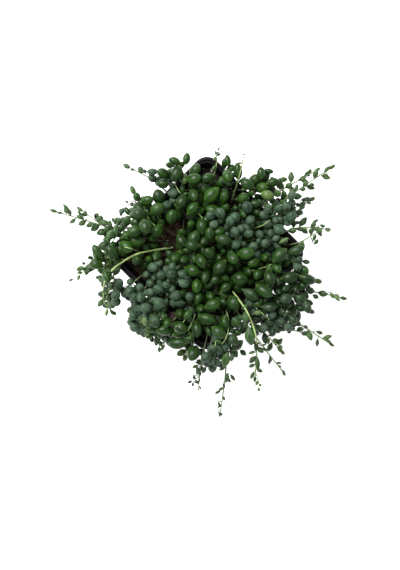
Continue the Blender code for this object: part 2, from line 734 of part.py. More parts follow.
def make_pot(finish):
    """The pot: up the outside, over the lip with its turned-down skirt, and down the inside to the floor."""
    inside_top = RIM_SIDE - 2 * LIP_WIDTH
    skirt_inside = RIM_SIDE - 2 * WALL
    wall_top = float(wall_side(POT_HEIGHT - LIP_DEPTH)) + 2 * WALL
    crest = RIM_SIDE - 2 * LIP_CURVE
    ledge = RIM_SIDE - 5 * LIP_CURVE
    inner_radius = RIM_RADIUS - 2 * WALL
    profile = (
        (BASE_SIDE - 2 * FOOT_CURVE, BASE_RADIUS - FOOT_CURVE, 0),
        (BASE_SIDE, BASE_RADIUS, FOOT_CURVE),
        (wall_top, RIM_RADIUS - WALL, POT_HEIGHT - LIP_DEPTH),
        (wall_top, RIM_RADIUS - WALL, POT_HEIGHT - LIP_STEP - WALL),
        (skirt_inside, RIM_RADIUS - WALL, POT_HEIGHT - LIP_STEP - WALL),
        (skirt_inside, RIM_RADIUS - WALL, POT_HEIGHT - LIP_DEPTH),
        (RIM_SIDE, RIM_RADIUS, POT_HEIGHT - LIP_DEPTH),
        (RIM_SIDE, RIM_RADIUS, POT_HEIGHT - LIP_CURVE),
        (crest, RIM_RADIUS - LIP_CURVE, POT_HEIGHT),
        (ledge + LIP_STEP, inner_radius, POT_HEIGHT),
        (ledge, inner_radius, POT_HEIGHT - LIP_STEP),
        (inside_top + LIP_STEP, inner_radius, POT_HEIGHT - LIP_STEP),
        (inside_top, inner_radius, POT_HEIGHT - 2 * LIP_STEP),
        (float(wall_side(FLOOR)), BASE_RADIUS - WALL, FLOOR),
    )
    return combined(lofted("pot", profile, finish), drain_cutters(), "DIFFERENCE")


def soil_side(height):
    """The width of the potting mix at a height, a gap short of the wall on each side."""
    return float(wall_side(height)) - 2 * GAP


def chip_objects(roots):
    """Flakes of bark that lie half sunk in the mix, clear of the roots."""
    chips = []
    for number, (u, v, size, turn) in enumerate(CHIPS):
        spot = turned([(u, v)])[0]
        if np.linalg.norm(roots - spot, axis=1).min() < CHIP_SIZE[0] / 2 * size + HOLE_RADIUS + GAP:
            continue
        tilt = CHIP_TILT if number % 2 else -CHIP_TILT
        place = Matrix.Translation((spot[0], spot[1], float(soil_height(spot)) + CHIP_LIFT))
        lie = Matrix.Rotation(math.radians(turn), 4, "Z") @ Matrix.Rotation(tilt, 4, "X")
        bm = bmesh.new()
        bmesh.ops.create_cube(bm, size=size, matrix=place @ lie @ Matrix.Diagonal((*CHIP_SIZE, 1)))
        chips.append(finished(bm, "chip"))
    return chips


def root_cutters(strings):
    """Plugs for the holes that the stems stand in."""
    cutters = []
    for _, _, route, _ in strings:
        foot = Vector(route[0])
        tall = HOLE_DEPTH + HOLE_CUT
        place = Matrix.Translation((foot.x, foot.y, foot.z - GAP + tall / 2))
        bm = bmesh.new()
        bmesh.ops.create_cone(
            bm, cap_ends=True, segments=HOLE_SIDES, radius1=HOLE_RADIUS, radius2=HOLE_RADIUS,
            depth=tall, matrix=place,
        )
        cutters.append(finished(bm, "root"))
    return cutters


def make_soil(strings, finish):
    """The potting mix: fills the pot to just under the rim, with a lumpy top, bark flakes and root holes."""
    bm = bmesh.new()
    foot = FLOOR + GAP
    top = POT_HEIGHT - SOIL_DROP
    rings = [
        rounded_ring(bm, soil_side(foot), BASE_RADIUS - WALL, foot, SOIL_STEPS),
        rounded_ring(bm, soil_side(top), RIM_RADIUS - 2, top, SOIL_STEPS),
    ]
    for share in SOIL_RINGS:
        rings.append(rounded_ring(bm, soil_side(top) * share, RIM_RADIUS * share, top, SOIL_STEPS))
    for ring in rings[1:]:
        for vert in ring:
            vert.co.z = float(soil_height(np.array(vert.co)))
    skinned(bm, rings)
    roots = np.array([route[0][:2] for _, _, route, _ in strings])
    soil = combined(finished(bm, "potting_mix", finish), chip_objects(roots), "UNION")
    return combined(soil, root_cutters(strings), "DIFFERENCE")


def main():
    """Builds the pot, the mix and every string."""
    clear_scene()
    black = material("black_plastic", (0.018, 0.017, 0.022), 0.45)
    brown = material("potting_mix", (0.045, 0.026, 0.016), 0.95)
    greens = {
        "plump": material("deep_green_leaf", (0.035, 0.13, 0.02), 0.3),
        "round": material("blue_green_leaf", (0.07, 0.16, 0.09), 0.5),
        "slim": material("fresh_green_leaf", (0.09, 0.2, 0.04), 0.4),
    }
    greens["tiny"] = greens["slim"]
    strings = grown()
    make_pot(black)
    make_soil(strings, brown)
    for name, kind, route, leaves in strings:
        string_object(name, kind, route, leaves, greens[kind])


main()
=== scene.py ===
"""The finish and the fine shapes of a string of pearls in a square black nursery pot.

Run as a script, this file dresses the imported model. Each string gets its whole foliage: the leaves of the
solid, where they are there, and then finer leaves and side shoots between them. The strings' courses and the
rule that places the leaves are the solid's own, so stems and leaves lie where the solids have them. Lengths
are in millimetres until a mesh is finished, which turns it into metres.
"""

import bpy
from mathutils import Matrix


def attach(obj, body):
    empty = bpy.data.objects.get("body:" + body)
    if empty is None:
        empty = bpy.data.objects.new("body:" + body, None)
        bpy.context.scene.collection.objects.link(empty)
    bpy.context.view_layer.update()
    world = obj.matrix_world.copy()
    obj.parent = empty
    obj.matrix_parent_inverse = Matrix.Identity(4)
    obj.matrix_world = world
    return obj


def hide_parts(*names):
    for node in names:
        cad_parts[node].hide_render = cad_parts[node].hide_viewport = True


bl_info = {
    "name": "Potted String of Pearls",
    "version": (1, 0, 0),
    "blender": (4, 5, 0),
    "location": "View3D > Sidebar > Pearls",
    "description": "Builds the pot, the mix, the strings and the stage round a fixed frame",
    "category": "Object",
}

import functools
import math
import random

import bmesh
import bpy
import numpy as np
from bpy.props import FloatProperty, FloatVectorProperty, IntProperty, PointerProperty
from mathutils import Matrix, Vector, noise

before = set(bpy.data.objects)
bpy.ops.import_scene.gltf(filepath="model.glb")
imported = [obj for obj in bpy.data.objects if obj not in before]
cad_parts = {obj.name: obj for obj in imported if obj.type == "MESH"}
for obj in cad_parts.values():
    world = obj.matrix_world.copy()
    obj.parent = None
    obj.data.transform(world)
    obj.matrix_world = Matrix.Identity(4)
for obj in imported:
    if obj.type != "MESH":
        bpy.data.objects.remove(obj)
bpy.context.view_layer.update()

MM = 0.001
GAP = 0.3

# Pot: a tapered square box with a turned-over lip
RIM_SIDE = 100.0
RIM_RADIUS = 8.5
POT_HEIGHT = 90.0
BASE_SIDE = 72.0
BASE_RADIUS = 7.0
WALL = 1.2
FLOOR = 2.0
LIP_WIDTH = 3.6
LIP_DEPTH = 9.0
LIP_STEP = 0.7
LIP_CURVE = 0.8
FOOT_CURVE = 1.0
LIP_CREST = 4.0

# Potting mix
SOIL_DROP = 12.0
SOIL_CROWN = 4.0
SOIL_LUMP = 0.9
MIX_RADIUS = 6.5

# Stems: their form, and how they keep clear of each other
STEM_RADIUS = 0.72
STEM_STEP = 2.6
CURVE_SAMPLES = 20
STEM_SLACK = 0.45
STEM_CLEARANCE = 3.5
SETTLE_ROUNDS = 120
SETTLE_LAST = 30
SETTLE_LOOK = 9.0
SETTLE_EVERY = 10
SETTLE_MOVE = 1.0
SETTLE_LEVEL = 0.3
SETTLE_ASIDE = 0.6
SETTLE_UP = 2.0
STEM_STIFFNESS = 0.2

# Stems: out of the hole, up to the mound, and over the lip
HOLE_DEPTH = 6.5
ROOT_RISE = 2.5
CLIMB = 15.0
LIP_PASS = 2.4
LIP_CLEAR = 1.8
LIP_ZONE = (6.6, 2.0)
MIX_CLEAR = 1.6
DROOP = 1.7
LIFT = 1.2

# Leaves: spacing along the stem, its growth from root to tip, its unevenness, and how leaves keep clear
INTERNODE = 8.2
MOUND_INTERNODE = 3.6
SPACING_GROWTH = (0.78, 1.5)
SPACING_SWAY = 0.25
FIRST_LEAF = 3.5
LAST_LEAF = 1.5
LEAF_GAP = 0.35
LEAF_PRESS = 0.5
LEAF_TRIES = 18
LEAF_CHOICES = 6
SMALL_LEAF = 0.78
OWN_STEM_REACH = 7.0
GROWTH_SEED = 11
THICKET_SEED = GROWTH_SEED + 2
FIBRE_SEED = GROWTH_SEED + 5
BARK_SEED = GROWTH_SEED + 6
GRIT_SEED = GROWTH_SEED + 7
PERLITE_SEED = GROWTH_SEED + 8
FLAKE_SEED = GROWTH_SEED + 9
STRING_SEED = GROWTH_SEED + 10

# Leaves that close the open places over the mound
FILL_LEAVES = 46
FILL_SPACING = 2.6
FILL_REACH = (3.5, 10.5)
FILL_LIFTS = (5.0, 9.0, 2.0)
FILL_MARGIN = 5.0
FILL_TRIES = 12

# The mound is highest here, this wide, in plan
MOUND_TOP = (7.0, -4.0)
MOUND_REACH = 52.0

# Balls that wrap a leaf, as shares of its length and width
LEAF_BALLS = ((0.18, 0.28), (0.42, 0.55), (0.62, 0.52), (0.85, 0.26))

# Kinds of leaf: length and width near the root, then at the tip of the string
LEAF_KINDS = {
    "plump": (12.3, 8.9, 7.6, 4.8),
    "round": (8.2, 6.9, 5.6, 4.0),
    "slim": (10.2, 6.3, 6.6, 3.4),
    "tiny": (5.6, 3.4, 3.8, 2.0),
}
LEAF_SPREAD = 0.18
SIZE_FALL = 1.7
LEAN_AT_ROOT = 74.0
LEAN_AT_TIP = 42.0
LEAN_SPREAD = 16.0
TURN = (-0.2, 1.4)

# Each string: name, kind of leaf, height of its run over the rim at the mound's top, height of its tip over
# the rim, and its course in plan from root to tip. The plan has one corner of the pot at the top of the page.
STRINGS = (
    ("west_spray", "slim", 7, 6, ((-39, 14), (-57, 14), (-70, 17), (-84, 23), (-103, 28))),
    ("west_twin", "slim", 6, 0, ((-43, 7), (-59, 10), (-68, 15), (-78, 22), (-86, 29))),
    ("west_arch", "slim", 14, -22, (
        (-24, 4), (-38, 3), (-53, -1), (-66, -8), (-71, -17), (-76, -29), (-74, -41), (-71, -47), (-67, -41),
    )),
    ("west_cluster", "plump", 6, -10, ((-32, -6), (-48, -6), (-63, -3), (-74, -3), (-79, -9), (-87, -10))),
    ("west_drop", "slim", 5, -26, ((-34, 19), (-50, 17), (-61, 19), (-70, 12), (-72, 2))),
    ("west_bunch", "plump", 6, 2, ((-28, 8), (-38, 9), (-48, 11), (-58, 13))),
    ("north_west_bunch", "plump", 8, 3, ((-17, 9), (-30, 18), (-41, 23), (-50, 31), (-50, 41))),
    ("north_west_low", "round", 6, -8, ((-28, 24), (-38, 32), (-46, 34), (-53, 37), (-58, 30))),
    ("north_west_spray", "round", 6, 2, ((-19, 31), (-26, 43), (-35, 52), (-43, 56), (-54, 59))),
    ("north_west_pair", "plump", 7, 6, ((-7, 39), (-12, 50), (-15, 55), (-19, 59))),
    ("north_hook", "tiny", 6, 4, ((3, 48), (6, 57), (10, 64), (12, 70), (10, 73), (6, 68))),
    ("north_leaf", "plump", 6, 3, ((14, 41), (12, 50), (12, 58))),
    ("north_wisp", "tiny", 8, 6, ((17, 36), (21, 50), (27, 57), (25, 66))),
    ("north_east_bunch", "plump", 8, -6, ((23, 32), (30, 45), (38, 53), (46, 56), (51, 51))),
    ("north_east_twig", "slim", 6, -4, ((29, 23), (42, 39), (52, 44), (61, 50), (75, 57))),
    ("north_east_spray", "slim", 8, 8, ((33, 18), (50, 35), (59, 41), (70, 48), (83, 57))),
    ("north_east_round", "round", 8, -3, ((38, 17), (49, 27), (59, 32), (72, 37))),
    ("east_round", "round", 8, -12, ((35, 10), (47, 21), (57, 27), (66, 32))),
    ("east_wisp", "slim", 6, -8, ((42, 8), (52, 17), (62, 20), (72, 21), (83, 17))),
    ("east_corner", "slim", 6, 8, ((48, 5), (58, 2), (66, 2), (71, 8), (75, 14))),
    ("east_rest", "round", 7, -4, ((30, -2), (43, -1), (55, -3), (67, -6))),
    ("south_east_big", "plump", 7, -8, ((35, -13), (49, -14), (63, -14), (76, -19))),
    ("south_east_long", "slim", 6, -12, ((33, -21), (50, -24), (66, -26), (81, -26), (94, -31))),
    ("south_east_short", "plump", 8, -14, ((24, -24), (45, -31), (59, -33), (72, -40))),
    ("south_east_spray", "slim", 6, -10, ((29, -25), (49, -40), (63, -48), (75, -56), (86, -63))),
    ("south_east_beads", "round", 8, -16, ((22, -32), (38, -45), (50, -52), (59, -56), (69, -56))),
    ("south_wisp", "slim", 6, -22, ((15, -34), (30, -45), (40, -54), (46, -62), (53, -69))),
    ("south_arch", "slim", 14, -14, ((18, -27), (28, -38), (34, -52), (36, -67), (34, -87))),
    ("south_twig", "tiny", 5, -30, ((20, -37), (29, -50), (36, -62), (41, -70), (51, -77), (56, -86))),
    ("south_long", "tiny", 7, -42, (
        (10, -32), (12, -50), (13, -66), (15, -82), (13, -93), (10, -103), (10, -117),
    )),
    ("south_hang", "tiny", 6, -38, ((1, -34), (1, -53), (-1, -68), (-6, -78), (-7, -89), (-6, -98))),
    ("south_tuft", "round", 8, -24, ((6, -39), (4, -56), (3, -71), (-1, -81), (-6, -84))),
    ("south_leaf", "plump", 6, -14, ((-7, -38), (-9, -53), (-12, -63), (-15, -72))),
    ("south_west_side", "plump", 6, -12, ((-12, -28), (-17, -42), (-21, -52), (-30, -56), (-38, -53))),
    ("south_west_tip", "slim", 6, -24, ((-21, -26), (-28, -37), (-34, -48), (-37, -57), (-34, -67))),
    ("south_west_fall", "round", 8, -22, ((-28, -21), (-38, -30), (-46, -39), (-50, -48), (-45, -57))),
    ("south_west_beads", "round", 6, -26, ((-34, -14), (-42, -23), (-50, -30), (-55, -40), (-52, -52))),
    ("south_west_twig", "round", 6, -10, ((-37, -9), (-47, -17), (-55, -26), (-66, -31))),
    ("south_west_veil", "round", 8, -28, ((-16, -19), (-27, -28), (-36, -36), (-42, -45), (-43, -53))),
)

# The strings of the mound itself, which stay within the lip, are laid out by a rule
MOUND_STRINGS = 18
MOUND_SPACING = 8.2
MOUND_LENGTH = (34.0, 48.0)
MOUND_HEIGHT = (6.0, 12.0)
MOUND_BEND = (0.27, 0.9)
MOUND_MARGIN = 7.0
MOUND_STEPS = 5
MOUND_VEER = 0.25
ROOT_SPACING = 4.6
ROOT_MARGIN = 12.0

# Parts of the mound where the leaves are of another kind: plan position, radius, kind
PATCHES = (
    (34, 14, 20.0, "round"),
    (-30, -26, 19.0, "round"),
    (-10, 32, 10.0, "round"),
)

# Places where the foliage opens and shows the mix or the lip: plan position and radius
CLEARINGS = (
    (-25, 15, 6.5), (-17, 23, 5.5), (-33, 9, 4.5), (8, 57, 5.5), (-1, 66, 5.5), (-14, 55, 4.0),
    (-27, 42, 3.5), (60, 8, 7.0), (54, -12, 4.0), (-62, 9, 4.0), (-52, -13, 6.0), (-44, -19, 4.0),
    (-3, -61, 6.5), (-24, -42, 4.5),
)

# Finer leaves: the rings of each kind, as shares of its length and half its width, its sides, its depth for
# its width, and how far a leaf may bend, as a share of its length, and roll
FINE_RINGS = {
    "plump": ((0.06, 0.14), (0.15, 0.56), (0.34, 0.96), (0.60, 1.05), (0.82, 0.76), (0.95, 0.30)),
    "round": ((0.07, 0.14), (0.16, 0.60), (0.35, 0.99), (0.60, 1.08), (0.82, 0.82), (0.95, 0.30)),
    "slim": ((0.11, 0.15), (0.24, 0.50), (0.42, 0.94), (0.60, 1.03), (0.79, 0.72), (0.93, 0.30)),
    "tiny": ((0.12, 0.20), (0.28, 0.66), (0.50, 1.00), (0.74, 0.74), (0.92, 0.26)),
}
FINE_SIDES = {"plump": 8, "round": 8, "slim": 7, "tiny": 6}
FINE_DEPTH = {"plump": 0.94, "round": 0.98, "slim": 0.78, "tiny": 0.8}
LEAF_BEND = (-0.03, 0.13)
LEAF_ROLL = 0.5

# Finer leaves on the stems: how far they may press into others and what is left of a ball then, how close
# they sit, and where they end on a string that passes over the lip
FINE_PRESS = 2.2
FINE_LEAST = 0.3
FINE_STRIDE = 0.5
FINE_UNTIL = (0.35, 0.4)
THIN_UNTIL = 0.4
NEIGHBOURS = 22.0

# Leaves on stalks that cover the mound: passes of (spacing, how far into a leaf a place still counts as open,
# range of sizes). The fringe passes are for the lip and past it, and may hang further below the stems. Then
# how near a stem must be, what counts as a stem that shows, how the places over it are tried, and the stalks
LARGE_PASSES = ((2.4, 1.2, (0.92, 1.2)), (2.1, 1.0, (0.82, 1.08)))
SMALL_PASSES = ((1.9, 0.6, (0.75, 1.0)), (1.7, 0.2, (0.62, 0.8)))
FRINGE_PASSES = ((2.2, 1.6, (0.8, 1.05)), (1.8, 1.4, (0.6, 0.8)), (1.5, 1.2, (0.45, 0.62)))
FRINGE_FROM = -3.0
FRINGE_BELOW = 10.0
STEM_REACH = 8.5
STEM_SHOWS = 1.1
STEM_PRESS = 0.6
COVER_LIFT = (2.0, 10.0)
COVER_DROP = 2.0
COVER_TRIES = 7
COVER_EVERY = 3
COVER_TURN = 1.0
COVER_RISE = (-15.0, 38.0)
STALK_REACH = (3.5, 14.0)
STALK_CLEAR = 3.5
STALK_SAG = 0.8
STALK_THICK = (0.4, 0.32)
STALK_AGES = (0.05, 0.15)
MOUND_AGES = (0.0, 0.3)
OUTER_AGES = (0.2, 0.48)
KIND_REACH = 5.0

# Strings whose pale stem shows, with no leaf over it: from what share of the way it shows, from what share it
# has finer leaves, and its radius and its age at the root and at the tip. Where leaves hide the stem, it is
# lifted over them, up to a share of its way and by no more than the most, and drawn taut in rounds
BARE_STRINGS = {
    "west_arch": (0.06, 0.5, (0.9, 0.65), (0.5, 1.0)),
    "south_arch": (0.06, 0.62, (0.75, 0.55), (0.45, 0.8)),
    "north_hook": (0.6, 1.0, (0.75, 0.5), (0.3, 0.5)),
    "north_wisp": (0.1, 1.0, (0.75, 0.5), (0.55, 0.4)),
    "south_twig": (0.45, 1.0, (0.7, 0.45), (0.4, 0.48)),
}
BARE_MARGIN = 0.7
LIFT_ROUNDS = 8
LIFT_MOST = 14.0
LIFT_UNTIL = 0.85

# Strings with few leaves past the mass, and those with leaves close together out to their tips
THIN_STRINGS = ("south_long", "south_hang", "south_east_long", "north_west_spray")
LEAFY_STRINGS = (
    "west_spray", "west_twin", "west_drop", "west_arch", "west_cluster", "north_east_spray",
    "north_east_twig", "north_east_round", "east_round", "east_wisp", "east_rest", "south_arch",
    "south_tuft", "south_wisp", "south_east_beads", "south_west_twig",
)

# The edge of the dense foliage in plan, and what share of its width the leaves that cover it keep to
MASS_EDGE = (
    (1, 60), (9, 52), (16, 62), (25, 61), (35, 59), (45, 56), (51, 46), (61, 40), (61, 24), (54, 18), (54, 7),
    (61, 1), (67, -5), (71, -11), (77, -20), (72, -28), (74, -37), (68, -45), (63, -54), (51, -58), (40, -56),
    (32, -63), (24, -64), (19, -73), (14, -83), (2, -85), (-4, -74), (-11, -73), (-26, -64), (-39, -60),
    (-50, -57), (-56, -50), (-54, -39), (-59, -30), (-51, -20), (-39, -16), (-49, -3), (-60, 3), (-63, -6),
    (-62, -18), (-64, -38), (-76, -40), (-79, -26), (-78, -5), (-73, 12), (-64, 24), (-53, 24), (-52, 40),
    (-39, 42), (-28, 40), (-36, 52), (-25, 65), (-13, 66), (-9, 59),
)
MASS_SHARE = 0.95

# Places that the finer leaves leave open, over the mix and along the lip: plan position and radius
FINE_CLEARINGS = (
    (-20, 16, 7.5), (5, 62, 5.5), (11, 56, 4.5), (-10, 60, 3.5), (-20, 47, 4.0), (-29, 41, 3.0),
    (-62, 9, 3.5), (-56, -9, 4.5), (-49, -17, 4.0), (60, 5, 8.0), (56, -14, 4.5), (-5, -62, 7.0),
    (-24, -43, 5.0),
)

# Parts of the finer foliage where the leaves are of another kind: plan position, radius, kind
FINE_PATCHES = (
    (58, 34, 15.0, "round"),
    (53, -48, 8.0, "round"),
    (1, -76, 11.0, "round"),
    (-46, -5, 7.0, "round"),
    (-50, -42, 15.0, "round"),
    (-66, 17, 9.0, "round"),
    (-43, 54, 9.0, "round"),
)

# Large leaves that stand out, each laid on what is below it: plan position, heading and rise in degrees,
# length and width. Then how far over the other leaves it starts, how far it drops at a time, and how many of
# its lengths off a stem still counts
FEATURE_LEAVES = (
    (26, -1, 5, 10, 13.5, 9.5), (22, -18, -10, 15, 12.5, 11.0), (5, -19, 40, 15, 9.0, 6.0),
    (-1, -16, -100, 15, 12.0, 7.0), (0, -45, -20, 5, 14.0, 8.5), (18, -34, -60, 20, 12.0, 10.5),
    (29, -28, -30, 5, 14.5, 9.0), (38, -26, -40, 5, 14.5, 9.5), (42, -37, 0, 0, 13.0, 8.0),
    (20, -48, 120, 25, 11.5, 10.0), (26, -43, -95, 10, 9.5, 6.0), (29, -56, -80, -10, 15.0, 8.5),
    (17, -59, -40, 5, 11.5, 10.0), (13, -73, -100, -25, 13.0, 8.5), (56, -17, 10, 0, 14.0, 9.0),
    (68, -18, -22, -8, 13.0, 8.0), (60, 1, 18, 5, 13.0, 7.5), (63, -31, -30, 0, 12.5, 10.0),
    (54, -31, 200, 10, 12.0, 9.0), (68, -37, -70, -10, 9.5, 7.0), (21, 55, 95, 15, 13.0, 7.0),
    (12, 61, 90, 25, 8.0, 5.0), (-33, 38, 110, 15, 12.0, 10.0), (-34, 29, 40, 15, 12.0, 10.0),
    (-24, 24, 80, 20, 11.5, 9.0), (-45, 25, 150, 10, 12.0, 10.0), (-41, 17, -70, 15, 12.0, 10.0),
    (-48, 8, 180, 5, 13.0, 9.5), (-74, -2, 125, -5, 12.0, 8.0), (-68, -16, -95, -20, 12.0, 8.0),
    (-29, -53, 180, 5, 12.5, 8.5), (-18, -54, 25, 5, 14.5, 8.5), (-7, -52, -80, 5, 12.0, 8.5),
    (-20, -62, 185, -15, 15.0, 9.0), (-36, -46, -60, 5, 12.5, 10.5),
)
FEATURE_LIFT = 6.0
FEATURE_DROP = 0.7
FEATURE_LOOK = 1.5

# Leaves near the tips of the strings, laid level: plan position, heading in degrees, length, width, and tint
# from dark 0 to light 1, or YOUNG for the youngest, which count as older than 1 and so are the palest
YOUNG = 2
TIP_LEAVES = (
    (-46, -45, 120, 5.0, 2.8, YOUNG), (-47, -50, 200, 5.0, 2.8, YOUNG), (-41, -51, 70, 6.0, 3.0, YOUNG),
    (-31, -66, -120, 6.0, 3.0, YOUNG), (-8, -80, 200, 5.0, 2.6, YOUNG), (31, -69, 20, 5.5, 2.6, YOUNG),
    (-95, 30, 131, 7.9, 2.9, 0.8), (-100, 27, 175, 5.0, 2.2, 0.6), (-87, 27, 120, 4.3, 2.4, 0.5),
    (-83, 27, 110, 5.5, 2.5, 0.4), (-86, 24, 160, 7.2, 3.2, 0.6), (-77, 25, 95, 5.6, 1.9, 0.1),
    (-77, 19, 175, 6.2, 2.9, 0.5), (-72, 24, 130, 4.3, 2.3, 0.5), (-74, 22, 120, 5.6, 3.4, 0.6),
    (-69, 20, 170, 8.6, 5.0, 0.7), (-65, 23, 130, 4.5, 2.9, 0.4), (-71, 14, 200, 9.1, 6.3, 0.3),
    (-62, 15, -105, 12.4, 6.2, 0.7), (-74, 0, 125, 11.7, 6.9, 0.5), (-75, -8, 180, 10.3, 7.9, 0.5),
    (-81, -3, 180, 4.3, 2.9, 0.1), (-86, -7, 150, 2.8, 2.5, 0.3), (-85, -11, 150, 3.2, 2.9, 0.1),
    (-81, -12, 165, 3.8, 3.3, 0.1), (-75, -17, 170, 4.5, 3.6, 0.1), (-66, -13, -60, 5.2, 4.4, 0.3),
    (-64, -17, -20, 4.0, 3.7, 0.1), (-68, -16, -70, 9.6, 4.8, 0.9), (-65, -22, -60, 5.1, 4.4, 0.2),
    (-22, 62, 165, 9.1, 5.9, 0.6), (-14, 64, 80, 9.1, 5.9, 0.6), (-37, 55, 180, 8.3, 5.2, 0.9),
    (-43, 56, 190, 3.6, 3.0, 0.2), (-51, 57, 180, 3.2, 2.3, 0.2), (-33, 51, 200, 4.5, 3.7, 0.6),
    (-30, 47, 180, 9.6, 7.4, 0.4), (-48, 38, 100, 6.6, 5.8, 0.5), (-51, 33, 180, 4.0, 2.9, 0.1),
    (-55, 35, 150, 3.0, 1.7, 0.3), (-59, 29, -120, 6.3, 3.4, 0.5), (-55, 29, -60, 6.9, 4.1, 0.5),
    (14, 62, 100, 9.0, 5.1, 0.4), (8, 71, 70, 3.7, 1.9, YOUNG), (7, 68, 215, 4.0, 1.9, 0.5),
    (71, 46, 0, 4.5, 3.6, 0.3), (65, 43, 10, 4.7, 4.0, 0.3), (68, 37, 10, 7.7, 3.2, 0.2),
    (63, 33, -20, 6.1, 2.9, 0.1), (61, 38, -10, 6.3, 4.3, 0.2), (57, 38, 60, 7.6, 6.1, 0.8),
    (69, 55, 35, 5.6, 3.0, 0.4), (69, 53, 0, 4.3, 2.2, 0.5), (66, 50, -25, 5.6, 2.6, 0.7),
    (75, 55, 0, 4.3, 2.2, 0.3), (81, 56, 50, 7.0, 3.4, 0.9), (80, 53, 0, 4.3, 1.7, YOUNG),
    (75, 22, 30, 6.2, 2.6, 0.5), (80, 19, -20, 5.0, 2.9, 0.2), (62, 21, 5, 6.3, 2.9, 0.1),
    (64, 16, -10, 7.7, 2.9, 0.1), (73, 10, 70, 5.6, 3.2, 0.6), (74, 7, 55, 5.0, 3.3, 0.4),
    (54, 28, -5, 8.3, 4.5, YOUNG), (41, 39, -20, 10.3, 7.6, YOUNG), (42, 56, -5, 7.7, 4.3, 0.2),
    (46, 51, -40, 5.1, 3.0, 0.2), (52, 8, 30, 7.7, 3.6, YOUNG), (26, 44, 20, 6.9, 4.1, YOUNG),
    (-49, -55, -60, 6.6, 3.7, 0.4), (-44, -55, 30, 5.4, 3.7, 0.3), (-39, -60, -80, 5.7, 3.8, 0.5),
    (-35, -62, -75, 4.3, 2.1, 0.1), (-42, -47, 100, 7.3, 4.4, YOUNG), (-45, -50, 200, 5.1, 3.3, YOUNG),
    (-12, -70, -90, 7.1, 4.6, 0.5), (-6, -82, 110, 5.4, 3.7, 0.9), (-2, -82, 60, 5.4, 3.1, 0.8),
    (-9, -88, -80, 4.0, 3.2, 0.3), (-7, -91, -40, 4.7, 2.9, 0.1), (-12, -92, 200, 4.0, 2.8, 0.1),
    (-10, -94, -90, 3.5, 2.5, 0.3), (14, -87, 80, 7.6, 4.8, 0.8), (18, -87, -55, 6.2, 3.4, 0.5),
    (12, -93, -70, 4.0, 2.5, 0.1), (8, -98, 210, 5.3, 3.1, 0.3), (9, -108, -60, 4.3, 2.5, 0.1),
    (10, -116, -30, 4.7, 3.1, 0.2), (-69, -26, 20, 8.2, 3.1, 0.2), (-68, -32, 10, 8.1, 4.1, 0.3),
    (-69, -36, 60, 7.3, 3.4, YOUNG), (-70, -41, -100, 6.6, 2.9, YOUNG), (78, -55, -20, 5.8, 3.2, 0.3),
    (77, -62, -95, 6.5, 3.0, 0.4), (84, -61, -30, 6.3, 3.0, 0.8), (68, -51, -20, 3.6, 3.2, 0.1),
    (67, -56, 0, 3.6, 3.2, 0.1), (87, -29, -60, 6.1, 3.3, YOUNG), (90, -31, -40, 6.6, 3.2, YOUNG),
    (71, -26, -10, 6.9, 5.8, 0.1), (75, -30, -30, 5.1, 4.0, 0.1), (34, -64, -95, 8.3, 3.9, 0.6),
    (35, -76, -85, 11.7, 4.3, 0.5), (32, -85, -120, 6.6, 3.2, 0.7), (25, -69, -40, 6.2, 5.0, 0.4),
    (51, -62, 50, 6.6, 3.7, 0.6), (39, -64, 10, 5.2, 2.1, 0.5), (42, -67, 10, 3.9, 2.3, 0.2),
    (44, -76, -90, 4.8, 2.1, 0.1), (52, -80, -40, 2.8, 2.2, 0.1), (55, -84, -50, 3.2, 2.1, 0.1),
    (34, -41, 5, 6.9, 4.1, YOUNG),
)
YOUNG_AGE = 1.25

# Parts of the foliage where the leaves' tints keep to a range: plan position, radius, range. The dark ranges
# to the south east are painted shade, where the deep foliage lies in shadow. Below 0 a leaf is dark with less
# mottling
SHADE_AND_TINT_PATCHES = (
    (62, -34, 19.0, (-0.3, 0.05)),
    (42, -48, 14.0, (-0.2, 0.1)),
    (38, -28, 11.0, (0.0, 0.5)),
    (18, -62, 10.0, (0.1, 0.5)),
    (-17, -60, 12.0, (0.1, 0.6)),
    (28, 55, 12.0, (0.1, 0.6)),
)

# Dry or pale stems that lie over the foliage: their courses in plan
LOOSE_STEMS = (
    ((-43, 30), (-39, 22), (-34, 17), (-30, 10)),
    ((-8, -42), (-10, -47), (-13, -53)),
    ((-13, -43), (-17, -48), (-23, -51)),
    ((13, -39), (15, -48), (13, -57), (9, -64)),
    ((6, -60), (5, -66), (6, -71)),
    ((28, -13), (36, -11), (44, -8)),
    ((-8, 28), (-5, 26), (-3, 23)),
    ((32, 17), (37, 18), (43, 22)),
    ((-61, 3), (-54, 3), (-47, 1)),
    ((-23, 50), (-21, 45), (-18, 40)),
    ((35, -38), (38, -42), (43, -46)),
)
LOOSE_THICK = (0.38, 0.24)
LOOSE_AGES = (0.5, 0.8)
LOOSE_LOOK = 2.5
LOOSE_STEP = 2.5
LOOSE_OVER = 1.0
LOOSE_TUCK = 2.0

# Side shoots on the outer strings: share of the stations that have one, their length, bend, turn round the
# stem and lean from it in degrees, and their leaves, which grow smaller towards the tip
SHOOT_SHARE = 0.06
SHOOT_LENGTH = (8.0, 17.0)
SHOOT_STEPS = 5
SHOOT_BEND = 0.35
SHOOT_SPACING = 3.2
SHOOT_LEAF = (6.2, 3.3)
SHOOT_FROM = 0.35
SHOOT_TURN = (0.5, 1.3)
SHOOT_LEAN = (25, 50)
SHOOT_LEAF_TURN = (0.6, 1.5)
SHOOT_LEAF_LEAN = (30, 55)
SHOOT_LEAF_SIZES = (0.85, 1.1)
SHOOT_LEAF_FALL = 0.4
SHOOT_TIP_LEAF = 0.7

# Finer stems
STEM_CURVE_STEP = 1.8
FINE_STEM_SIDES = 6
STEM_THICK = (0.85, 0.46)
SHOOT_THICK = (0.45, 0.3)
SHOOT_AGES = (0.8, 1.0)
NEARLY_UPRIGHT = 0.97

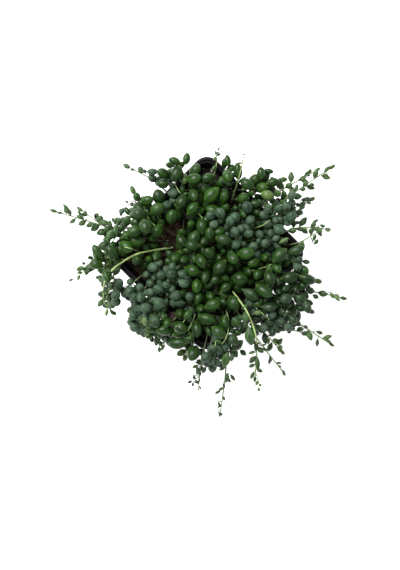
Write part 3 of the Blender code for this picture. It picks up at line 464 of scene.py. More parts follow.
# The record's slot for each kind of leaf
SLOTS = {
    "plump": "deep_green_leaf",
    "round": "blue_green_leaf",
    "slim": "fresh_green_leaf",
    "tiny": "fresh_green_leaf",
}

# The fine pot
POT_CORNER_STEPS = 10
POT_EDGE = 0.3
POT_EDGE_ANGLE = math.radians(28)
POT_SMOOTH_ANGLE = math.radians(35)
DRAIN_RADIUS = 3.6
DRAIN_STEPS = 20
SIDE_DRAIN_REACH = 24.0
CORNER_DRAIN_REACH = 29.0

# The fine mix: its grid, its crumbs, and what lies loose on it as ranges of length, width and thickness, and
# how far it sinks in, as a share of its thickness
MIX_STEPS = 84
CRUMBS = 1.1
CRUMB_WAVES = 0.16
CRUMB_FRACTAL = (0.7, 2.1, 4)
FINE_CRUMBS = 0.3
FINE_CRUMB_WAVES = 1.1
BARK = ((2.5, 11.0), (1.6, 5.5), (0.7, 1.9))
GRIT = ((0.8, 2.6), (0.8, 2.2), (0.7, 1.8))
PERLITE = ((1.0, 3.2), (0.9, 2.8), (0.8, 2.4))
LIP_FLAKE = (-24, -44.5)
LIP_FLAKE_SIZE = (10.0, 6.0, 1.8)
BARK_SINK = 0.25
GRIT_SINK = 0.3
LUMP_ROUGHNESS = (0.72, 1.2)
LUMP_TILT = 0.5
FIBRES = 70
FIBRE_LENGTH = 14.0
FIBRE_STEPS = 4
FIBRE_RADIUS = 0.22
FIBRE_LIFT = (0.2, 1.2)
FIBRE_BEND = 0.7

# Each kind of leaf's finish: its name, how strong its bloom is, and how much duller it is than the smoothest
LEAF_SKINS = {
    "plump": ("deep_green_leaf_skin", 0.1, 0.0),
    "round": ("blue_green_leaf_skin", 0.5, 0.14),
    "slim": ("fresh_green_leaf_skin", 0.22, 0.06),
}

# Patterns on a leaf: noises as (scale per metre, detail, roughness where it isn't a half), and how much of a
# leaf's shade comes from its tint, which is painted shade in the dark patches, and how much from the mottling
LEAF_MOTTLE = (260.0, 3.0)
LEAF_PORES = (1400.0, 4.0, 0.6)
LEAF_PORE_DEPTH = 0.0002
BLOOM_PATCHES = (150.0, 3.0)
BLOOM_EDGE = (0.35, 0.75)
BLOOM_COLOUR = (0.125, 0.185, 0.118)
BLOOM_DULL = 0.4
TINT_SHARE = 0.75
MOTTLE_SHARE = 0.3
MOTTLE_DULL = 0.16
YOUTH_POWER = 3.0
YOUTH_SHARE = 0.35
LEAF_GLOSS = 0.32

# Markings along a leaf, from 0 at its stalk to 1 at its point: where each one comes or goes, and how much it
# shows
STALK_UNTIL = (0.03, 0.18)
STALK_SHARE = 0.5
WINDOW_FROM = (0.16, 0.3)
WINDOW_UNTIL = (0.8, 0.95)
WINDOW_SHARE = 0.6
POINT_FROM = (0.95, 1.0)
POINT_SHARE = 0.8
POINT_COLOUR = (0.05, 0.04, 0.02)

# Markings round a leaf, in radians from the middle of its upper side
WINDOW_EDGE = (0.16, 0.3)
LINE_FROM = (0.24, 0.34)
LINE_UNTIL = (0.36, 0.48)
LINE_SHARE = 0.28
VEINS = 9.0
VEIN_EDGE = (0.2, 1.0)
VEIN_SHARE = 0.12

# The stems' finish: at what age they turn from old to young, and their streaks
STEM_YOUTH = (0.25, 0.6)
STEM_STREAKS = (900.0, 4.0, 0.65)
STREAK_EDGE = (0.5, 0.75)
STREAK_SHARE = 0.35
STREAK_DEPTH = 0.0002

# The pot's finish: its film of dust, its specks of soil, its scuffs and the grain of its plastic
POT_FILM = (70.0, 6.0, 0.65)
FILM_EDGE = (0.42, 0.75)
FILM_SHARE = 0.4
FILM_DULL = 0.4
POT_SPECKS = (900.0, 2.0)
SPECK_EDGE = (0.66, 0.74)
SPECK_SHARE = 0.5
POT_SCUFFS = (260.0, 6.0, 0.7)
SCUFF_DULL = 0.3
POT_GRAIN = (2600.0, 3.0)
POT_GRAIN_DEPTH = 0.0001
POT_GLOSS = 0.17

# Crumbly finishes: scale of the grain, its depth and its roughness, and how grain and patches make the tone
PEAT_GRAIN = (420.0, 0.0012, 0.95)
BARK_GRAIN = (500.0, 0.0006, 0.8)
PERLITE_GRAIN = (900.0, 0.0004, 0.9)
GRAIN_SHADOW = 0.5
CRUMB_GRAIN = 0.7
CRUMB_PATCHES = 0.5
CRUMB_EDGE = (0.4, 0.82)

# The stage: the camera looks straight down from over this place in plan, with a corner of the pot to the top
EYE_PLAN = (-4.8, -22.1)
EYE_OVER_RIM = 650.0
VIEW_WIDTH = 276.0
IMAGE_SIZE = (400, 570)
SENSOR = 36.0
FLOOR_REACH = 4000.0
FLOOR_SIDES = 64
KEY_PLAN = (-420.0, 480.0)
KEY_HEIGHT = 950.0


def turned(points):
    """Plan positions in the pot's own axes: a corner at the top of the page becomes the corner at +X, +Y."""
    plan = np.array(points, float)
    return np.column_stack([plan[:, 0] + plan[:, 1], plan[:, 1] - plan[:, 0]]) * math.sqrt(0.5)


def spot(u, v):
    """One plan position in the pot's own axes."""
    return turned([(u, v)])[0]


def clearings(places):
    """Places to keep open, as middles in the pot's own axes and radii."""
    return [(spot(u, v), size) for u, v, size in places]


def patch_value(place, patches, otherwise):
    """What the first patch that holds a place says, or else the other value."""
    for u, v, size, value in patches:
        if np.linalg.norm(place - spot(u, v)) < size:
            return value
    return otherwise


def heading_vector(angle):
    """A level unit vector at an angle from +X."""
    return np.array([math.cos(angle), math.sin(angle)])


def spiral(centre, spacing, number):
    """A place of an even spiral round a centre."""
    return centre + spacing * math.sqrt(number) * heading_vector(number * math.pi * (3 - math.sqrt(5)))


def outside(places, side, radius):
    """How far each place lies outside a rounded square round the origin, negative inside it."""
    past = np.abs(places[..., :2]) - (np.asarray(side)[..., None] / 2 - radius)
    return np.linalg.norm(np.maximum(past, 0), axis=-1) + np.minimum(past.max(axis=-1), 0) - radius


def wall_side(height):
    """The width of the pot's inside at a height over its base."""
    top = RIM_SIDE - 2 * LIP_WIDTH
    foot = BASE_SIDE - 2 * WALL
    return foot + (top - foot) * np.clip((height - FLOOR) / (POT_HEIGHT - FLOOR), 0, 1)


def soil_height(places):
    """The height of the potting mix: a low crown with lumps."""
    x, y = places[..., 0], places[..., 1]
    reach = np.clip(np.maximum(np.abs(x), np.abs(y)) / (RIM_SIDE / 2), 0, 1)
    lumps = np.sin(x * 0.16 + 1.2) * np.cos(y * 0.14 - 0.4) + 0.6 * np.sin(x * 0.09 - y * 0.11)
    return POT_HEIGHT - SOIL_DROP + SOIL_CROWN * (1 - reach) + SOIL_LUMP * lumps


def pot_distance(points):
    """How far points are from the pot's wall and lip, roughly, and zero inside them."""
    height = points[..., 2]
    inner = outside(points, wall_side(height), RIM_RADIUS)
    lip = height > POT_HEIGHT - LIP_DEPTH
    outer = outside(points, np.where(lip, RIM_SIDE, wall_side(height) + 2 * WALL), RIM_RADIUS)
    beside = np.maximum(np.maximum(-inner, outer), 0)
    above = np.maximum(height - POT_HEIGHT, 0)
    return np.hypot(beside, above)


def smooth_curve(points, step):
    """Points about a step apart along a smooth curve through the given ones."""
    ends = np.array([2 * points[0] - points[1], *points, 2 * points[-1] - points[-2]])
    curve = []
    for a, b, c, d in zip(ends, ends[1:], ends[2:], ends[3:]):
        for t in np.linspace(0, 1, CURVE_SAMPLES, endpoint=False):
            bend = (2 * a - 5 * b + 4 * c - d) * t * t + (3 * b - a - 3 * c + d) * t**3
            curve.append((2 * b + (c - a) * t + bend) / 2)
    curve = np.array([*curve, ends[-2]])
    along = np.concatenate([[0], np.cumsum(np.linalg.norm(np.diff(curve, axis=0), axis=1))])
    stops = np.linspace(0, along[-1], max(3, round(along[-1] / step)) + 1)
    return np.column_stack([np.interp(stops, along, curve[:, i]) for i in range(curve.shape[1])])


def ease(x):
    """A smooth step from 0 to 1."""
    x = np.clip(x, 0, 1)
    return x * x * (3 - 2 * x)


def mound_courses(taken):
    """Courses of the mound's own strings: roots on a spiral, each course an arc that stays within the lip."""
    draw = random.Random(GROWTH_SEED)
    courses = []
    centre = spot(*MOUND_TOP) / 2
    number = 0
    while len(courses) < MOUND_STRINGS:
        number += 1
        root = spiral(centre, MOUND_SPACING, number)
        heading = draw.uniform(0, 2 * math.pi)
        bend = draw.choice((-1, 1)) * draw.uniform(*MOUND_BEND)
        stride = draw.uniform(*MOUND_LENGTH) / MOUND_STEPS
        height = draw.uniform(*MOUND_HEIGHT)
        while min(np.linalg.norm(root - other) for other in taken) < ROOT_SPACING:
            root = root + heading_vector(heading)
        if outside(root, RIM_SIDE, RIM_RADIUS) > -ROOT_MARGIN:
            continue
        taken.append(root)
        course = mound_course(root, heading, bend, stride)
        kind = patch_value(course[len(course) // 2], PATCHES, "plump")
        courses.append((f"mound_{len(courses) + 1:02d}", kind, height, None, course))
    return courses


def mound_course(root, heading, bend, stride):
    """An arc from a root, which turns away from the lip where it would reach it."""
    course = [root]
    for _ in range(MOUND_STEPS):
        ahead = course[-1] + stride * heading_vector(heading)
        while outside(ahead, RIM_SIDE, RIM_RADIUS) > -MOUND_MARGIN:
            heading += math.copysign(MOUND_VEER, bend)
            ahead = course[-1] + stride * heading_vector(heading)
        course.append(ahead)
        heading += bend / MOUND_STEPS
    return np.array(course)


def raised_course(height, tip, course):
    """A string's course in space: up out of its hole, over the mound, over the lip and down to its tip."""
    plan = smooth_curve(course, STEM_STEP)
    root = np.array([*plan[0], soil_height(plan[:1])[0]])
    along = np.arange(len(plan)) * STEM_STEP
    beyond = outside(plan, RIM_SIDE, RIM_RADIUS)
    middle = spot(*MOUND_TOP)
    swell = 1 - ease(np.linalg.norm(plan - middle, axis=1) / MOUND_REACH)
    level = LIP_PASS + (height - LIP_PASS) * swell + POT_HEIGHT
    rise = ease((along + STEM_STEP) / CLIMB)
    heights = root[2] + ROOT_RISE + (level - root[2] - ROOT_RISE) * rise
    if tip is not None and beyond[-1] > 0:
        first = int(np.argmax(beyond > 0))
        share = np.clip((along - along[first]) / max(along[-1] - along[first], STEM_STEP), 0, 1)
        heights = heights + (POT_HEIGHT + tip - heights) * share ** (DROOP if tip < 0 else LIFT)
    foot = [root + (0, 0, GAP - HOLE_DEPTH), root + (0, 0, ROOT_RISE)]
    return np.vstack([foot, np.column_stack([plan, heights])[1:]])


def near_pairs(points, owner):
    """Pairs of points of different strings that lie near each other."""
    apart = np.linalg.norm(points[:, None] - points[None, :], axis=2)
    return np.nonzero(np.triu((owner[:, None] != owner[None, :]) & (apart < SETTLE_LOOK)))


def settle(routes):
    """Moves the strings' points until crossing stems pass over each other and clear the lip and the mix."""
    points = np.vstack(routes)
    owner = np.repeat(np.arange(len(routes)), [len(r) for r in routes])
    order = np.concatenate([np.arange(len(r)) for r in routes])
    last = np.array([len(r) - 1 for r in routes])[owner]
    free = order > 1
    inner = free & (order < last)
    for turn in range(SETTLE_ROUNDS):
        if turn % SETTLE_EVERY == 0:
            first, second = near_pairs(points, owner)
        away = points[first] - points[second]
        distance = np.linalg.norm(away, axis=1)
        # Stems that meet part mostly up and down, so that one passes over the other
        level = np.abs(away[:, 2]) < SETTLE_LEVEL
        away[:, 2] = np.where(level, -SETTLE_LEVEL, away[:, 2]) * SETTLE_UP
        away[:, :2] *= SETTLE_ASIDE
        away /= np.linalg.norm(away, axis=1)[:, None]
        push = away * (np.maximum(STEM_CLEARANCE - distance, 0) * 0.5)[:, None]
        moves = np.zeros_like(points)
        np.add.at(moves, first, push)
        np.add.at(moves, second, -push)
        points[free] += np.clip(moves[free], -SETTLE_MOVE, SETTLE_MOVE)
        if turn < SETTLE_ROUNDS - SETTLE_LAST:
            ahead = np.roll(points, -1, axis=0)
            behind = np.roll(points, 1, axis=0)
            points[inner] += STEM_STIFFNESS * (ahead[inner] + behind[inner] - 2 * points[inner])
        keep_clear(points, free)
    settled = np.split(np.round(points, 3), np.cumsum([len(r) for r in routes])[:-1])
    return [thinned(route) for route in settled]


def thinned(route):
    """A route without the points that lie nearly in line with their neighbours."""
    ends = route[-1] - route[0]
    along = np.clip((route - route[0]) @ ends / (ends @ ends), 0, 1)
    off = np.linalg.norm(route - route[0] - along[:, None] * ends, axis=1)
    widest = int(off.argmax())
    if off[widest] < STEM_SLACK:
        return route[[0, -1]]
    return np.vstack([thinned(route[: widest + 1])[:-1], thinned(route[widest:])])


def keep_clear(points, free):
    """Lifts points off the lip and the mix."""
    edge = outside(points, RIM_SIDE, RIM_RADIUS)
    over = free & (edge > -LIP_ZONE[0]) & (edge < LIP_ZONE[1])
    points[over, 2] = np.maximum(points[over, 2], POT_HEIGHT + LIP_CLEAR)
    within = free & (edge <= -LIP_ZONE[0])
    points[within, 2] = np.maximum(points[within, 2], soil_height(points[within]) + MIX_CLEAR)


def leaf_balls(base, along, length, width):
    """Balls that wrap a leaf, as rows of centre and radius."""
    return np.array([[*(base + along * length * at), width * size] for at, size in LEAF_BALLS])


def is_clear(balls, leaves, stems):
    """Whether a leaf's balls clear the leaves and stems so far, the pot and the mix."""
    centres, radii = balls[:, :3], balls[:, 3]
    if (pot_distance(centres) < radii + LEAF_GAP).any():
        return False
    within = outside(centres, RIM_SIDE, RIM_RADIUS) < 0
    if (within & (centres[:, 2] - radii < soil_height(centres) + LEAF_GAP)).any():
        return False
    for others in (leaves, stems):
        if len(others):
            apart = np.linalg.norm(centres[:, None] - others[None, :, :3], axis=2)
            if (apart < radii[:, None] + others[None, :, 3] + LEAF_GAP).any():
                return False
    return True


def in_clearing(point, middles):
    """Whether a point lies over one of the clearings."""
    return any(np.linalg.norm(point[:2] - middle) < size for middle, size in middles)


def stem_balls(route):
    """Balls along a stem, as rows of centre and radius."""
    parts = []
    for a, b in zip(route, route[1:]):
        parts.append(np.linspace(a, b, math.ceil(np.linalg.norm(b - a) / STEM_RADIUS / 1.5), endpoint=False))
    line = np.vstack([*parts, route[-1:]])
    return np.column_stack([line, np.full(len(line), STEM_RADIUS)])


def leaf_stations(route, spacing):
    """Where leaves sit on a stem: (point, tangent, share of the way to the tip), root to tip."""
    along = np.concatenate([[0], np.cumsum(np.linalg.norm(np.diff(route, axis=0), axis=1))])

    def place(distance):
        return np.array([np.interp(distance, along, route[:, i]) for i in range(3)])

    stop = along[1] + FIRST_LEAF
    while stop < along[-1] - LAST_LEAF:
        tangent = place(stop + LAST_LEAF) - place(stop - LAST_LEAF)
        share = stop / along[-1]
        yield place(stop), tangent / np.linalg.norm(tangent), share
        growth = SPACING_GROWTH[0] + (SPACING_GROWTH[1] - SPACING_GROWTH[0]) * share
        stop += spacing * growth * (1 + SPACING_SWAY * math.sin(stop))


def leaf_direction(tangent, turn, lean):
    """A direction leaning from the stem's tangent, turned round the stem from straight up."""
    side = np.cross(tangent, (0, 0, 1))
    side = side / np.linalg.norm(side) if np.linalg.norm(side) > 0.1 else np.array([1.0, 0, 0])
    up = np.cross(side, tangent)
    outward = math.cos(turn) * up + math.sin(turn) * side
    return math.cos(lean) * tangent + math.sin(lean) * outward


def tip_leaf(route, kind, size):
    """The leaf that ends a string, in line with it."""
    _, _, length, width = LEAF_KINDS[kind]
    ahead = (route[-1] - route[-2]) / np.linalg.norm(route[-1] - route[-2])
    return route[-1] - ahead, ahead, length * size, width * size


def best_leaf(station, kind, side, draw, leaves, stems, openings):
    """Of the leaves tried at a station, the clear one that lies furthest from the others."""
    point, tangent, share = station
    length, width, tip_length, tip_width = LEAF_KINDS[kind]
    lean = LEAN_AT_ROOT + (LEAN_AT_TIP - LEAN_AT_ROOT) * share
    fall = share**SIZE_FALL
    found = []
    for attempt in range(LEAF_TRIES):
        late = attempt / LEAF_TRIES
        turn = side * draw.uniform(TURN[0], TURN[1] * (1 + late))
        tilt = math.radians(lean + draw.uniform(-LEAN_SPREAD, LEAN_SPREAD))
        size = draw.uniform(1 - LEAF_SPREAD, 1 + LEAF_SPREAD) * (SMALL_LEAF if late > 0.5 else 1)
        long = (length + (tip_length - length) * fall) * size
        wide = (width + (tip_width - width) * fall) * size
        leaf = (point, leaf_direction(tangent, turn, tilt), long, wide)
        balls = leaf_balls(*leaf)
        if not in_clearing(balls[2], openings) and is_clear(balls, leaves, stems):
            room = np.linalg.norm(leaves[:, :3] - balls[1, :3], axis=1).min()
            found.append((room, attempt, leaf))
        if len(found) == LEAF_CHOICES:
            break
    return max(found)[2] if found else None


def pressed(placed, number):
    """The leaves so far, with those of one string a little smaller, as they may press into each other."""
    return np.column_stack([placed[:, :3], placed[:, 3] - (LEAF_GAP + LEAF_PRESS) * (placed[:, 4] == number)])


def labelled(balls, number):
    """Balls with the number of their string in a last column."""
    return np.column_stack([balls, np.full(len(balls), number)])


def leafed(routes, kinds, spacings):
    """The leaves of every string, as lists of (base, direction, length, width)."""
    draw = random.Random(GROWTH_SEED + 1)
    openings = clearings(CLEARINGS)
    stems = np.vstack([labelled(stem_balls(route), number) for number, route in enumerate(routes)])
    placed = np.zeros((0, 5))
    plants = [[] for _ in routes]
    for number, (route, kind) in enumerate(zip(routes, kinds)):
        leaf = tip_leaf(route, kind, draw.uniform(1 - LEAF_SPREAD, 1))
        balls = leaf_balls(*leaf)
        if is_clear(balls, placed, stems[stems[:, 4] != number]):
            plants[number].append(leaf)
            placed = np.vstack([placed, labelled(balls, number)])
    for number, (route, kind) in enumerate(zip(routes, kinds)):
        for count, station in enumerate(leaf_stations(route, spacings[number])):
            if in_clearing(station[0], openings):
                continue
            side = -1 if count % 2 else 1
            around = obstacles(stems, station[0], number)
            leaf = best_leaf(station, kind, side, draw, pressed(placed, number), around, openings)
            if leaf:
                plants[number].append(leaf)
                placed = np.vstack([placed, labelled(leaf_balls(*leaf), number)])
    fill_mound(kinds, stems, plants, placed, openings, draw)
    return plants


def obstacles(stems, base, number):
    """The stems' balls that a leaf must clear: all but those of its own stem near its base."""
    return stems[(stems[:, 4] != number) | (np.linalg.norm(stems[:, :3] - base, axis=1) > OWN_STEM_REACH)]


def open_places(openings):
    """Plan positions over the mound, from its top outwards, but for the clearings."""
    top = spot(*MOUND_TOP)
    for number in range(int((RIM_SIDE / FILL_SPACING) ** 2)):
        place = spiral(top, FILL_SPACING, number)
        if outside(place, RIM_SIDE, RIM_RADIUS) < -FILL_MARGIN and not in_clearing(place, openings):
            yield place


def fill_mound(kinds, stems, plants, placed, openings, draw):
    """Adds a leaf over each open place of the mound, on a stem near it, while the count lasts."""
    count = 0
    for place in open_places(openings):
        covered = np.linalg.norm(placed[:, :2] - place, axis=1) < placed[:, 3]
        if count == FILL_LEAVES or covered.any():
            continue
        away = np.linalg.norm(stems[:, :2] - place, axis=1)
        near = stems[(away > FILL_REACH[0]) & (away < FILL_REACH[1]) & (stems[:, 2] > POT_HEIGHT)]
        near = near[np.argsort(-near[:, 2], kind="stable")]
        for ball in near[:: max(1, len(near) // FILL_TRIES)]:
            number = int(ball[4])
            leaf = fill_leaf(ball[:3], place, kinds[number], draw)
            balls = leaf_balls(*leaf)
            if is_clear(balls, pressed(placed, number), obstacles(stems, ball[:3], number)):
                plants[number].append(leaf)
                placed = np.vstack([placed, labelled(balls, number)])
                count += 1
                break


def fill_leaf(base, place, kind, draw):
    """A leaf from a point on a stem, out over a place."""
    length, width, _, _ = LEAF_KINDS[kind]
    size = draw.uniform(1 - LEAF_SPREAD, 1)
    direction = np.array([*(place - base[:2]), draw.choice(FILL_LIFTS)])
    return base, direction / np.linalg.norm(direction), length * size, width * size


def near(balls, point, reach):
    """The balls within reach of a point, in plan where the point is a place in plan."""
    return balls[np.linalg.norm(balls[:, : len(point)] - point, axis=1) < reach]


def softened(balls):
    """Balls a little smaller than the leaves that they wrap, so that finer leaves may press against them."""
    return np.column_stack([balls[:, :3], np.maximum(balls[:, 3] - FINE_PRESS, FINE_LEAST), balls[:, 4:]])


@functools.cache
def grown():
    """The foliage: each string's solid leaves first, then the finer ones, each clear of those before."""
    outer = [(name, kind, height, tip, turned(course)) for name, kind, height, tip, course in STRINGS]
    every = outer + mound_courses([course[0] for *_, course in outer])
    routes = settle([raised_course(height, tip, course) for _, _, height, tip, course in every])
    names = [name for name, *_ in every]
    kinds = [kind for _, kind, *_ in every]
    spacings = [MOUND_INTERNODE if tip is None else INTERNODE for _, _, _, tip, _ in every]
    bare = [number for number, name in enumerate(names) if name in BARE_STRINGS]
    thicket = Thicket(names, routes, kinds, leafed(routes, kinds, spacings), bare)
    for feature in FEATURE_LEAVES:
        thicket.feature(*feature)
    for u, v, heading, length, width, tint in TIP_LEAVES:
        thicket.feature(u, v, heading, 0.0, length, width, tint)
    for layer in LARGE_PASSES:
        thicket.cover(*layer)
    thicket.line_stems(spacings)
    for layer in SMALL_PASSES:
        thicket.cover(*layer)
    for layer in FRINGE_PASSES:
        thicket.cover(*layer, FRINGE_FROM, FRINGE_BELOW)
    return thicket


class Thicket:
    """The foliage as it thickens: each string's leaves, those on stalks of their own, and its side shoots."""

    def __init__(self, names, routes, kinds, leaves, bare):
        self.names = names
        self.routes = routes
        self.kinds = kinds
        self.leaves = leaves
        self.hung = [[] for _ in routes]
        self.shoots = [[] for _ in routes]
        self.draw = random.Random(THICKET_SEED)
        self.bare = bare
        self.openings = clearings(CLEARINGS + FINE_CLEARINGS)
        self.stems = np.vstack([labelled(stem_balls(route), number) for number, route in enumerate(routes)])
        shown = [(stem_balls(routes[number]), BARE_STRINGS[names[number]][0]) for number in bare]
        self.shown = np.vstack([balls[int(len(balls) * share) :] for balls, share in shown])
        self.balls = np.zeros((0, 5))
        for number, string in enumerate(leaves):
            for leaf in string:
                self.take(number, leaf)

    def take(self, number, leaf):
        """Counts a leaf among those that the next ones must clear."""
        self.balls = np.vstack([self.balls, softened(labelled(leaf_balls(*leaf), number))])

    def bearers(self, stems):
        """Those of the stems' balls that may bear leaves on stalks."""
        return stems[~np.isin(stems[:, 4], self.bare)]

    def hang(self, number, foot, leaf, tint):
        """Adds a leaf to a string, on a stalk that sags a little from its foot on a stem."""
        sag = (foot + leaf[0]) / 2 - (0, 0, STALK_SAG)
        self.hung[number].append((np.array([foot, sag, leaf[0]]), leaf, tint))
        self.take(number, leaf)

    def line_stems(self, spacings):
        """Adds finer leaves between the solid's on each stem, and a few side shoots."""
        for number, (route, kind) in enumerate(zip(self.routes, self.kinds)):
            name = self.names[number]
            past_lip = number < len(STRINGS) and name not in LEAFY_STRINGS
            for count, station in enumerate(leaf_stations(route, spacings[number] * FINE_STRIDE)):
                until = FINE_UNTIL[0] + self.draw.random() * FINE_UNTIL[1]
                if name in THIN_STRINGS:
                    until = THIN_UNTIL
                if in_clearing(station[0], self.openings) or past_lip and station[2] > until:
                    continue
                if number in self.bare and station[2] < BARE_STRINGS[name][1]:
                    continue
                side = -1 if count % 2 else 1
                leaves = near(self.balls, station[0], NEIGHBOURS)
                stems = near(obstacles(self.stems, station[0], number), station[0], NEIGHBOURS)
                leaf = best_leaf(station, kind, side, self.draw, leaves, stems, self.openings)
                if leaf and not self.hides_stem(leaf_balls(*leaf)):
                    self.leaves[number].append(leaf)
                    self.take(number, leaf)
                if number < len(STRINGS) and station[2] > SHOOT_FROM and self.draw.random() < SHOOT_SHARE:
                    self.shoots[number].append(shoot(station, side, self.draw))

    def feature(self, u, v, heading, rise, length, width, tint=None):
        """Lays one leaf on what is below its place, on a stalk from the nearest stem of a kind that suits."""
        place = spot(u, v)
        leaves = near(self.balls, place, NEIGHBOURS)
        stems = near(self.stems, place, NEIGHBOURS)
        leafy = self.bearers(stems) if tint is None else stems
        level = math.cos(math.radians(rise)) * heading_vector(math.radians(heading - 45))
        direction = np.array([*level, math.sin(math.radians(rise))])
        rounded = tint is not None and place_kind(place) == "round"
        strange = np.array([(self.kinds[int(number)] == "round") != rounded for number in leafy[:, 4]])
        dislike = np.linalg.norm(leafy[:, :2] - place, axis=1) + KIND_REACH * strange
        bearer = leafy[dislike.argmin()]
        laid = None
        for height in np.arange(leaves[:, 2].max() + FEATURE_LIFT, bearer[2], -FEATURE_DROP):
            leaf = (np.array([*place, height]) - direction * length / 2, direction, length, width)
            if not is_clear(leaf_balls(*leaf), leaves, near(leafy, place, FEATURE_LOOK * length)):
                break
            laid = leaf
        if laid:
            nearest = leafy[(np.linalg.norm(leafy[:, :3] - laid[0], axis=1) + KIND_REACH * strange).argmin()]
            self.hang(int(nearest[4]), nearest[:3], laid, tint)

    def cover(self, spacing, open_into, sizes, past=-RIM_SIDE, below=COVER_DROP):
        """Hangs leaves on stalks from the stems near by over what still shows between the others."""
        for place in self.cover_places(spacing):
            if outside(place, RIM_SIDE, RIM_RADIUS) < past:
                continue
            leaves = near(self.balls, place, NEIGHBOURS)
            stems = near(self.stems, place, NEIGHBOURS)
            leafy = self.bearers(stems)
            if len(near(leafy, place, STEM_REACH)) and not covered(place, leaves, leafy, open_into):
                found = self.hung_leaf(place, leaves, stems, sizes, below)
                if found:
                    self.hang(*found, None)

    def cover_places(self, spacing):
        """Plan positions over the dense foliage, but for the clearings."""
        top = spot(*MOUND_TOP)
        edge = turned(MASS_EDGE) * MASS_SHARE
        for number in range(int((RIM_SIDE / spacing) ** 2)):
            place = spiral(top, spacing, number)
            if within(place, edge) and not in_clearing(place, self.openings):
                yield place

    def hides_stem(self, balls):
        """Whether a leaf would lie over a stem that shows."""
        away = np.linalg.norm(self.shown[:, None, :2] - balls[None, 1:, :2], axis=2)
        over = balls[None, 1:, 2] > self.shown[:, None, 2]
        return bool((over & (away < balls[None, 1:, 3] + BARE_MARGIN)).any())

    def hung_leaf(self, place, leaves, stems, sizes, below):
        """The highest clear leaf found over a place, as (number of its string, foot of its stalk, leaf)."""
        wanted = place_kind(place)
        leafy = self.bearers(stems)
        close = near(leafy, place, STEM_REACH)
        top = close[:, 2].max() + self.draw.uniform(*COVER_LIFT)
        for height in np.arange(top, close[:, 2].min() - below, -COVER_DROP):
            middle = np.array([*place, height])
            away = np.linalg.norm(leafy[:, :3] - middle, axis=1)
            strange = np.array([self.kinds[int(number)] != wanted for number in leafy[:, 4]])
            dislike = away + KIND_REACH * strange + STALK_REACH[1] * (away < STALK_REACH[0])
            for ball in leafy[np.argsort(dislike, kind="stable")[: COVER_TRIES * COVER_EVERY : COVER_EVERY]]:
                number = int(ball[4])
                if np.linalg.norm(ball[:3] - middle) > STALK_REACH[1]:
                    continue
                kind = wanted if self.kinds[number] in ("slim", "tiny") else self.kinds[number]
                leaf = leaf_round(middle, ball[:3], kind, sizes, self.draw)
                balls = leaf_balls(*leaf)
                others = stems[np.linalg.norm(stems[:, :3] - ball[:3], axis=1) > STALK_CLEAR]
                others[:, 3] *= STEM_PRESS
                if in_clearing(balls[2], self.openings) or self.hides_stem(balls):
                    continue
                if is_clear(balls, leaves, others):
                    return number, ball[:3], leaf
        return None


def within(place, edge):
    """Whether a place lies inside a closed line of corners."""
    crossings = 0
    for (x, y), (next_x, next_y) in zip(edge, np.roll(edge, -1, axis=0)):
        if (y > place[1]) != (next_y > place[1]):
            crossings += place[0] < x + (place[1] - y) / (next_y - y) * (next_x - x)
    return crossings % 2 == 1


def lifted(curve, shows, balls):
    """A stem lifted over the leaves that hide it, from a share of its way."""
    raised = curve.copy()
    for i in range(int(len(curve) * shows), int(len(curve) * LIFT_UNTIL)):
        away = np.linalg.norm(balls[:, :2] - curve[i, :2], axis=1)
        over = away < balls[:, 3] + FINE_PRESS
        if over.any():
            tops = balls[over, 2] + np.sqrt((balls[over, 3] + FINE_PRESS) ** 2 - away[over] ** 2)
            raised[i, 2] += min(max(tops.max() - curve[i, 2], 0.0), LIFT_MOST)
    for _ in range(LIFT_ROUNDS):
        raised[1:-1, 2] = np.maximum(raised[1:-1, 2], (raised[:-2, 2] + raised[2:, 2]) / 2)
    return raised


def laid_over(course, balls):
    """A course in plan laid over the leaves below it, with both ends tucked in."""
    places = turned(course)
    curve = smooth_curve(np.column_stack([places, np.zeros(len(places))]), LOOSE_STEP)
    for point in curve:
        below = near(balls, point[:2], LOOSE_LOOK)
        point[2] = max(below[:, 2] + below[:, 3] + FINE_PRESS) if len(below) else POT_HEIGHT + LOOSE_OVER
    inner = curve[:, 2].copy()
    curve[1:-1, 2] = (inner[:-2] + 2 * inner[1:-1] + inner[2:]) / 4
    curve[[0, -1], 2] -= LOOSE_TUCK
    return curve


def covered(place, leaves, stems, open_into):
    """Whether a leaf lies over a place, but for its edge, and over any stem there."""
    over = leaves[np.linalg.norm(leaves[:, :2] - place, axis=1) < leaves[:, 3] + FINE_PRESS - open_into]
    under = near(stems, place, STEM_SHOWS)
    return len(over) > 0 and (len(under) == 0 or over[:, 2].max() > under[:, 2].max())


def place_kind(place):
    """The kind of leaf that grows at a place."""
    return patch_value(place, PATCHES + FINE_PATCHES, "plump")


def leaf_tint(leaf, draw):
    """A leaf's tint, from dark to light, within the range of its place; where that range is dark, it is
    painted shade.
    """
    base, direction, length, _ = leaf
    middle = base[:2] + np.asarray(direction)[:2] * length / 2
    return draw.uniform(*patch_value(middle, SHADE_AND_TINT_PATCHES, (0.0, 1.0)))


def leaf_round(middle, stem_point, kind, sizes, draw):
    """A leaf round a middle point, pointing more or less away from a point on a stem."""
    length, width, _, _ = LEAF_KINDS[kind]
    size = draw.uniform(*sizes)
    away = middle - stem_point
    heading = math.atan2(away[1], away[0]) + draw.uniform(-COVER_TURN, COVER_TURN)
    rise = math.radians(draw.uniform(*COVER_RISE))
    direction = np.array([*(math.cos(rise) * heading_vector(heading)), math.sin(rise)])
    return middle - direction * length * size / 2, direction, length * size, width * size


